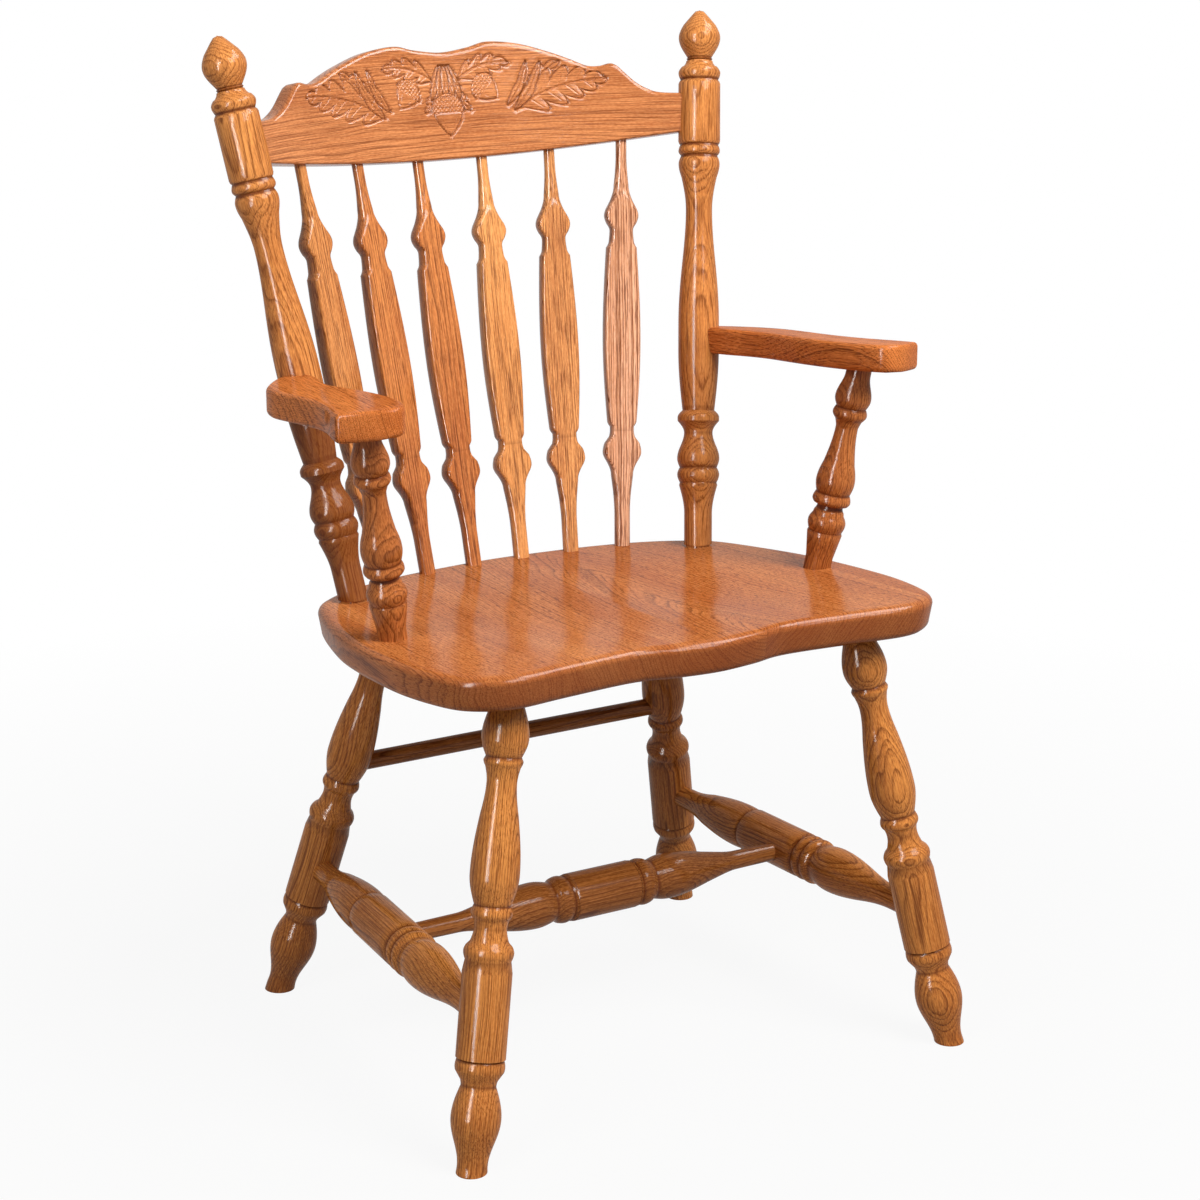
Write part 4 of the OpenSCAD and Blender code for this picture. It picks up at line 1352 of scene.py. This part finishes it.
@dataclass(frozen=True)
class Undercarriage:
    """The four legs and the four stretchers."""

    gauge: Gauge = Gauge()
    leg_r: float = 24.8
    tenon_r: float = 13
    front_trim: float = 6
    side_r: float = 25.2
    side_end_r: float = 12.2
    cross_r: float = 25.8
    cross_end_r: float = 9.8
    rod_r: float = 9.7
    # How deep a stretcher's end sits below the surface that it enters
    depth: float = 17.9
    # How far the legs run into the seat, and how wide their sanded foot edge is
    into_seat: float = 3
    eased: float = 0.8
    finish: Oak = LEG_OAK
    # Darker copy of the legs' oak, painted shade, for the cross stretcher and the rod
    shaded_finish: Oak = SHADED_LEG_OAK

    def build(self) -> None:
        """Builds and places all eight."""
        for side, name in SIDES:
            front = Turner(f"front_leg_{name}", "oak_legs", self.gauge.leg(side, True), self.finish,
                           (38, 22 * side), 25 * side, 70 * side)
            self._leg(front, self.front_trim)
            rear = Turner(f"rear_leg_{name}", "oak_legs", self.gauge.leg(side, False), self.finish,
                          (30, 34 * side), -30 * side, 190 + 90 * side)
            self._leg(rear, 0)
            self._side(side, name)
        self._cross()
        self._rod()

    def _leg(self, turner: Turner, trim: float) -> None:
        """Turns one leg and saws it level at the floor.

        Args:
            turner: The turner of this leg.
            trim: How much shorter it is than a front leg at its foot.
        """
        front = self.gauge.leg(1, True)
        full = front.length() + self.front_trim
        drum = self.gauge.stretcher_h * front.length() / front.head.z + self.front_trim
        r = self.leg_r
        low = [
            (-10, -8.7), (2, -9), (12, -9.7, WAVE), (59, 0.1, WAVE), (91, -7.3, LEAVES), (97, -6.3, LEAVES),
            (106, -0.6), (110, 0, LANDS), (116, -0.9, LEAVES), (118, -2.4), (119.2, -1.0),
            (120.5, -0.3, LANDS), (drum - 39, 0), (drum + 45, 0),
        ]
        high = [
            (259, -2), (251, 0.1, LANDS), (245, -1.9, LEAVES), (241, -5.7), (227, -8.7, LANDS),
            (219, -7.4, LEAVES), (213, -4.4, LANDS), (205, -6.7, LEAVES), (175, -0.4, LANDS),
            (117, -6, LEAVES), (85, -9.9, LANDS), (77, -9.1, LEAVES), (70, -7.4), (64, -5.3, LANDS),
            (60, -7.2), (41, -1.5, LANDS), (13, -7.5, LEAVES), (0, self.tenon_r + 0.8 - r, LANDS),
        ]
        turner.spin([(d - trim, *rest) for d, *rest in low + from_end(full, high)], r)
        turner.place()
        turner.ease(turner.saw(Vector((0, 0, 0)), Vector((0, 0, -1))), self.eased)
        tilt = math.radians(self.gauge.seat_tilt)
        under = Vector((0, GAUGE_Y, self.gauge.under_z(0) + self.into_seat)) * MM
        turner.saw(under, Vector((0, math.sin(tilt), math.cos(tilt))))
        turner.finished()

    def _side(self, side: int, name: str) -> None:
        """Turns one side stretcher.

        Args:
            side: -1 for the left one and 1 for the right one.
            name: left or right.
        """
        axis = self.gauge.side_stretcher(side)
        turner = Turner(f"side_stretcher_{name}", "oak_stretchers", axis, self.finish,
                        (26, 36 * side), 15, 300 * side)
        length = axis.length()
        first = self.leg_r - self.depth
        r = self.side_r
        e = self.side_end_r - r
        low = [
            (first, e), (40, e), (95, -5.3, LEAVES), (138, -0.1, LANDS), (160, -3.4, LEAVES), (163, -2.4),
            (169, 0.2, LANDS), (176, -2, LEAVES), (183, 0.2, LANDS), (190, -2, LEAVES), (194, 0), (284, 0),
            (288, -2.2), (291, -1.2), (305, -0.4, LANDS), (365, -6.7, LEAVES), (402, e + 0.5, LANDS),
            (length - first, e),
        ]
        turner.make(low, r)

    def _cross(self) -> None:
        """Turns the stretcher between the side stretchers."""
        right = self.gauge.side_stretcher(1)
        middle = (right.foot + right.head) / 2
        axis = Axis(Vector((0, middle.y, middle.z)), middle)
        turner = Turner("cross_stretcher", "oak_stretchers", axis, self.shaded_finish, (-30, 30), 0, 50)
        e = self.cross_end_r - self.cross_r
        half = [
            (0, 0), (38, 0), (39.5, -1.4), (41, -0.6), (43, -2), (50, -0.2, LANDS), (57, -1.6, LEAVES),
            (63, -4.5, LANDS), (83, -0.9, LANDS), (133, -8.5, LEAVES), (153, -12.6), (176, e + 0.5, LANDS),
            (middle.x - self.side_r + self.depth, e),
        ]
        turner.make(mirrored(half), self.cross_r)

    def _rod(self) -> None:
        """Makes the plain rod between the rear legs."""
        ends = [level(self.gauge.leg(side, False), self.gauge.rear_stretcher_h) for side, _ in SIDES]
        turner = Turner("rear_stretcher", "oak_stretchers", Axis(*ends), self.shaded_finish, (22, 30), 0, 20)
        inset = self.leg_r - self.depth
        turner.make([(inset, 0), (turner.axis.length() - inset, 0)], self.rod_r)


@dataclass(frozen=True)
class Uprights:
    """The back posts and the arm posts."""

    gauge: Gauge = Gauge()
    post_r: float = 23.4
    belly_r: float = 22.8
    foot_r: float = 15.6
    tenon_r: float = 13.6
    # Gap between a post's shoulder and the seat, and how wide the shoulder's sanded edge is
    gap: float = 2.5
    eased: float = 0.7
    arm_at: float = 233.2
    arm_foot_r: float = 14.7
    # How much painted shade of the arm darkens the left and the right post below it
    painted_arm_shade: Pair = (0.88, 0.3)
    finish: Oak = POST_OAK
    arm_shaded_finish: Oak = ARM_POST_SHADED_OAK

    def build(self) -> None:
        """Builds and places all four."""
        for side, name in SIDES:
            self._back(side, name)
            self._arm(side, name)

    def _back(self, side: int, name: str) -> None:
        """Turns one back post with its finial.

        Args:
            side: -1 for the left post and 1 for the right one.
            name: left or right.
        """
        axis = self.gauge.post(side)
        # The post's low end gets painted shade of the arm
        r, dark = self.post_r, self.painted_arm_shade[side > 0]
        turner = Turner(f"back_post_{name}", "oak_posts", axis, self.finish, (30, 28), 10 * side, 400 * side,
                        dark=dark, painted_shade_up_to=self.arm_at)
        foot, belly = self.foot_r - r, self.belly_r - r
        low = [
            (-10, foot), (36, foot), (68, -1.9, LEAVES), (71, -2.7), (80, 0.2, LANDS), (88, -2.6, LEAVES),
            (98, 0.3, LANDS), (114, -4.2, LEAVES), (127, -7.4, LANDS), (140, -0.1, LEAVES), (144, 0),
            (152, -5.5, LEAVES), (self.arm_at - 14, belly, LANDS), (self.arm_at + 16, belly),
        ]
        high = [
            (270, -5.9, LEAVES), (222, -8.7, LANDS), (186, -3.7, LEAVES), (171, -0.4, LANDS),
            (162, -3.2, LEAVES), (157, -0.2, LANDS), (150, -2.2, LEAVES), (147, -0.4, LANDS), (146, 0),
            (82, 0), (80.5, -0.6, LANDS), (78, -2.5), (70, 0, LANDS), (63.5, -3.4, LEAVES), (62.5, -5.6),
            (57, -8.6, LANDS), (56, -10.2), (54.5, -9), (53, -10.2), (51.5, -9), (50.5, -8.5),
            (31, -0.2, LANDS), (17, -5.3, LEAVES), (6, -14.7), (1.8, -18.6), (0, -r, LANDS),
        ]
        turner.spin(low + from_end(axis.length(), high), r)
        turner.place()
        tilt = math.radians(self.gauge.seat_tilt)
        cut = Vector((0, GAUGE_Y, self.gauge.seat_h + self.gap)) * MM
        turner.ease(turner.saw(cut, Vector((0, -math.sin(tilt), -math.cos(tilt)))), self.eased)
        turner.finished()
        tenon = Turner(f"back_post_{name}", "oak_posts", axis, self.finish, steps=48)
        tenon.make([(-20, 0), (10, 0)], self.tenon_r, f"back_post_{name}_tenon")

    def _arm(self, side: int, name: str) -> None:
        """Turns one arm post.

        Args:
            side: -1 for the left post and 1 for the right one.
            name: left or right.
        """
        axis = self.gauge.arm_post(side)
        turner = Turner(f"arm_post_{name}", "oak_legs", axis, self.arm_shaded_finish,
                        (22, -30 * side), 40, 520 * side)
        low = [
            (-12, 0), (12, 0), (39, 4.3), (41.5, 3.3), (51, 5.8, LANDS), (60, 2.1, LEAVES), (63, 1.6),
            (69, -0.8, LANDS), (70.5, -0.8), (72, 4), (76, 6, LANDS), (84, 3.5, LEAVES), (97, 6.2, LANDS),
            (117, 2.2, LEAVES),
        ]
        high = [
            (66, -2.7, LANDS), (60, -1.3, LEAVES), (57, -0.3), (50, 3.8, LANDS), (43, 1.3, LEAVES),
            (33, 4.7, LANDS), (7, -1.2, WAVE), (-10, -1.5),
        ]
        turner.make(low + from_end(axis.length(), high), self.arm_foot_r)


@dataclass(frozen=True)
class Stick:
    """The stick of oak that one spindle is turned from.

    Attributes:
        pale: Colour of its pale wood.
        middle: Colour of its darker wood.
        pith: Where the tree's heart lies: across the planed face, and behind it.
        ring_mm: Width of its growth rings.
        ring_depth: Strength of its rings.
    """

    pale: str
    middle: str
    pith: Pair
    ring_mm: float
    ring_depth: float


@dataclass(frozen=True)
class Spindles:
    """The six arrow spindles: turned, then planed flat on the front and the back."""

    gauge: Gauge = Gauge()
    low_pitch: float = 60.5
    high_pitch: float = 79
    back: float = 77
    low_bend: float = 640
    thickness: float = 18
    edge_soft: float = 3.2
    blade_r: float = 21.4
    tip_r: float = 6.1
    depth: float = 18
    # Length that the stations are drawn for
    drawn: float = 445
    steps: int = 96
    crest: CrestRail = CrestRail()
    sticks: tuple[Stick, ...] = (
        Stick("#d58f50", "#ad652f", (40, 12), 3.2, 0.45),
        Stick("#cf8345", "#a95f2e", (58, -14), 2.8, 0.65),
        Stick("#cd8144", "#a65d2c", (-30, 44), 3.0, 0.65),
        Stick("#dd9b5b", "#c17c42", (14, 52), 5.0, 0.3),
        Stick("#dc9a5c", "#b87542", (64, 6), 2.2, 0.55),
        Stick("#e2ad8a", "#c98e68", (60, 26), 2.4, 0.95),
    )

    def build(self) -> None:
        """Turns, planes and places all six."""
        for i, stick in enumerate(self.sticks):
            from_middle = i - (len(self.sticks) - 1) / 2
            x = from_middle * self.low_pitch
            y = self.back - self.low_bend + math.sqrt(self.low_bend**2 - x**2)
            foot = Vector((x, y, self.gauge.seat_z(y)))
            top = self.crest.spindle_top(from_middle * self.high_pitch)
            bends = math.asin(foot.x / self.low_bend) + math.asin(top.x / self.crest.bend)
            axis = Axis(foot, top, 90 - math.degrees(bends) / 2)
            finish = replace(SPINDLE_OAK, pale=stick.pale, middle=stick.middle, ring_mm=stick.ring_mm,
                             ring_depth=stick.ring_depth)
            turner = Turner(f"spindle_{i + 1}", "oak_spindles", axis, finish,
                            stick.pith, 0, 90 * i, self.steps)
            turner.spin(self._stations(axis.length()))
            turner.plane(self.thickness / 2, self.edge_soft)
            turner.place()
            turner.finished()

    def _stations(self, length: float) -> list[Station]:
        """Gives the outline of a spindle of a length.

        Args:
            length: Length between the seat and the rail.

        Returns:
            The stations, with their ends inside both sockets.
        """
        b, t = self.blade_r, self.tip_r
        shaft = self.thickness / 2 - 0.15
        k = length / self.drawn
        drawn = [
            (34, shaft), (60, shaft + 1.5, LEAVES), (78, shaft + 3.8), (96, b - 1.7, LEAVES),
            (103, b + 0.5, LANDS), (113, b - 1.4, LEAVES), (120, b - 6.6), (127, b - 7.8, LANDS),
            (131, b - 7.8), (138, b - 4.6, LANDS), (228, b, LANDS), (328, b - 4, LEAVES),
            (336, b - 7.3, LANDS), (347, b - 8.1, LANDS), (354, b - 4.8, LEAVES), (363, b - 2, LANDS),
            (370, b - 3.6, LEAVES), (379, b - 8.4), (396, t + 2.4, LANDS), (430, t, LANDS),
        ]
        return [(-self.depth, shaft), *((d * k, *rest) for d, *rest in drawn), (length + self.depth, t)]


@dataclass(frozen=True)
class Beech:
    """Bare beech of the hidden dowels: pale, fine and even, with short brown flecks."""

    pale: str = "#dcc09a"
    fleck: str = "#b98f62"
    # Cells per metre: the flecks are about 1 mm wide and 3 mm long
    cells: Point = (300.0, 900.0, 900.0)

    def material(self, name: str) -> bpy.types.Material:
        """Makes the beech.

        Args:
            name: Name of the material.

        Returns:
            The material with its nodes.
        """
        material = bpy.data.materials.new(name)
        add = partial(add_node, new_tree(material))
        scaled = add("Mapping", {"Vector": add("TexCoord").outputs["Object"], "Scale": self.cells})
        flecks = add("MapRange", (add("TexNoise", {"Vector": scaled, "Scale": 1.0}), 0.55, 0.7))
        colour = add("Mix", {0: flecks, 6: srgb(self.pale), 7: srgb(self.fleck)}, data_type="RGBA").outputs[2]
        shader = add("BsdfPrincipled", {"Base Color": colour, "Roughness": 0.6, "IOR": 1.5})
        add("OutputMaterial", (shader,))
        return material


def direction(azimuth: float, elevation: float) -> Vector:
    """Gives the direction of angles in degrees, with azimuth 0 in front of the chair."""
    a, e = math.radians(azimuth), math.radians(elevation)
    return Vector((math.sin(a) * math.cos(e), -math.cos(a) * math.cos(e), math.sin(e)))


@dataclass(frozen=True)
class Softbox:
    """A rectangular studio lamp that looks at the chair's middle.

    Attributes:
        name: Name of the lamp.
        azimuth: Direction it stands in, in degrees, with 0 in front of the chair.
        elevation: Its height above the horizon in degrees.
        distance: Its distance in metres.
        size: Its width and height in metres.
        power: Its power in watts.
        only_gloss: True for a strip that only draws a streak in the lacquer.
    """

    name: str
    azimuth: float
    elevation: float
    distance: float
    size: Pair
    power: float
    only_gloss: bool = False

    def build(self, target: Vector) -> None:
        """Hangs the lamp.

        Args:
            target: Point that it looks at, in metres.
        """
        lamp = bpy.data.lights.new(self.name, "AREA")
        lamp.shape = "RECTANGLE"
        lamp.size, lamp.size_y = self.size
        lamp.energy = self.power
        item = bpy.data.objects.new(self.name, lamp)
        item.visible_diffuse = not self.only_gloss
        item.visible_camera = not self.only_gloss
        back = direction(self.azimuth, self.elevation)
        item.location = target + back * self.distance
        item.rotation_euler = back.to_track_quat("Z", "Y").to_euler()
        bpy.context.scene.collection.objects.link(item)


@dataclass(frozen=True)
class Studio:
    """The camera, the lamps and the pale floor."""

    camera_place: Point = (-1.4992, -2.5443, 1.3266)
    camera_azimuth: float = -31.0
    camera_elevation: float = 16.3
    lens: float = 87.0
    sensor: float = 36.0
    clip: Pair = (0.05, 60.0)
    target: Point = (0, 0, 0.55)
    floor_radius: float = 14.0
    # The floor shows a little of the chair's shadow up to the first distance, none from the second
    shadow_fade: Pair = (0.5, 1.6)
    shadow_share: float = 0.08
    lamps: tuple[Softbox, ...] = (
        Softbox("left_strip", -62, 14, 2.6, (0.5, 2.2), 172, only_gloss=True),
        Softbox("top_box", 70, 56, 3.0, (1.6, 1.2), 140, only_gloss=True),
        Softbox("front_box", 18, 46, 3.0, (1.5, 1.5), 136),
        Softbox("left_box", -66, 36, 3.0, (1.2, 1.2), 34),
    )

    def build(self) -> None:
        """Builds everything round the chair."""
        for lamp in self.lamps:
            lamp.build(Vector(self.target))
        self._camera()
        self._world()
        self._floor()

    def _camera(self) -> None:
        """Stands the camera where the photograph was taken from."""
        lens = bpy.data.cameras.new("camera")
        lens.lens = self.lens
        lens.sensor_width = self.sensor
        lens.clip_start, lens.clip_end = self.clip
        camera = bpy.data.objects.new("camera", lens)
        camera.location = self.camera_place
        ahead = -direction(self.camera_azimuth, self.camera_elevation)
        camera.rotation_euler = ahead.to_track_quat("-Z", "Y").to_euler()
        bpy.context.scene.collection.objects.link(camera)
        bpy.context.scene.camera = camera

    @staticmethod
    def _seen_white(add: Add) -> Socket | Node:
        """Gives 1 for rays that show the backdrop: from the camera, a gloss or a glass.

        Args:
            add: Adds a node to the tree of the world or the floor.

        Returns:
            The node or socket that gives it.
        """
        path = add("LightPath")
        seen = path.outputs["Is Camera Ray"]
        for ray in ("Is Glossy Ray", "Is Transmission Ray"):
            seen = add("Math", (seen, path.outputs[ray]), operation="MAXIMUM")
        return seen

    def _world(self) -> None:
        """Makes the studio's pale walls."""
        world = bpy.data.worlds.new("studio")
        bpy.context.scene.world = world
        add = partial(add_node, new_tree(world))
        dim = add("Background", (srgb("#f4f3f1"), 0.3))
        white = add("Background", ((1, 1, 1, 1), 1.0))
        add("OutputWorld", (add("MixShader", (self._seen_white(add), dim, white)),))

    def _floor(self) -> None:
        """Lays the white floor, which keeps a faint shadow of the chair."""
        bm = bmesh.new()
        bmesh.ops.create_circle(bm, cap_ends=True, segments=96, radius=self.floor_radius)
        floor = linked("floor", bm)
        material = bpy.data.materials.new("white_sweep")
        add = partial(add_node, new_tree(material))
        far = add("VectorMath", (add("TexCoord").outputs["Object"],), operation="LENGTH").outputs["Value"]
        fade_out = add("MapRange", (far, *self.shadow_fade, 1 - self.shadow_share, 1.0))
        share = add("Math", (self._seen_white(add), fade_out), operation="MULTIPLY")
        paint = add("BsdfDiffuse", (srgb("#a5a4a2"),))
        glow = add("Emission", ((1, 1, 1, 1), 1.0))
        add("OutputMaterial", (add("MixShader", (share, paint, glow)),))
        dress(floor, material)


def main() -> None:
    """Loads the frame and builds the chair round it."""
    logging.basicConfig(level=logging.INFO, format="%(name)s: %(message)s")
    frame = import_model()
    nodes = frame["nodes"]
    bpy.context.scene.view_settings.view_transform = "Standard"
    SeatBoard().build()
    CrestRail().build()
    for side, _ in SIDES:
        Arm().build(side)
    Undercarriage().build()
    Uprights().build()
    Spindles().build()
    for name in ("crest_dowels", "arm_dowels"):
        dress(nodes[name], Beech().material(f"beech_{name}"))
        log.info("dressed %s", name)
    Studio().build()


if __name__ == "__main__":
    main()
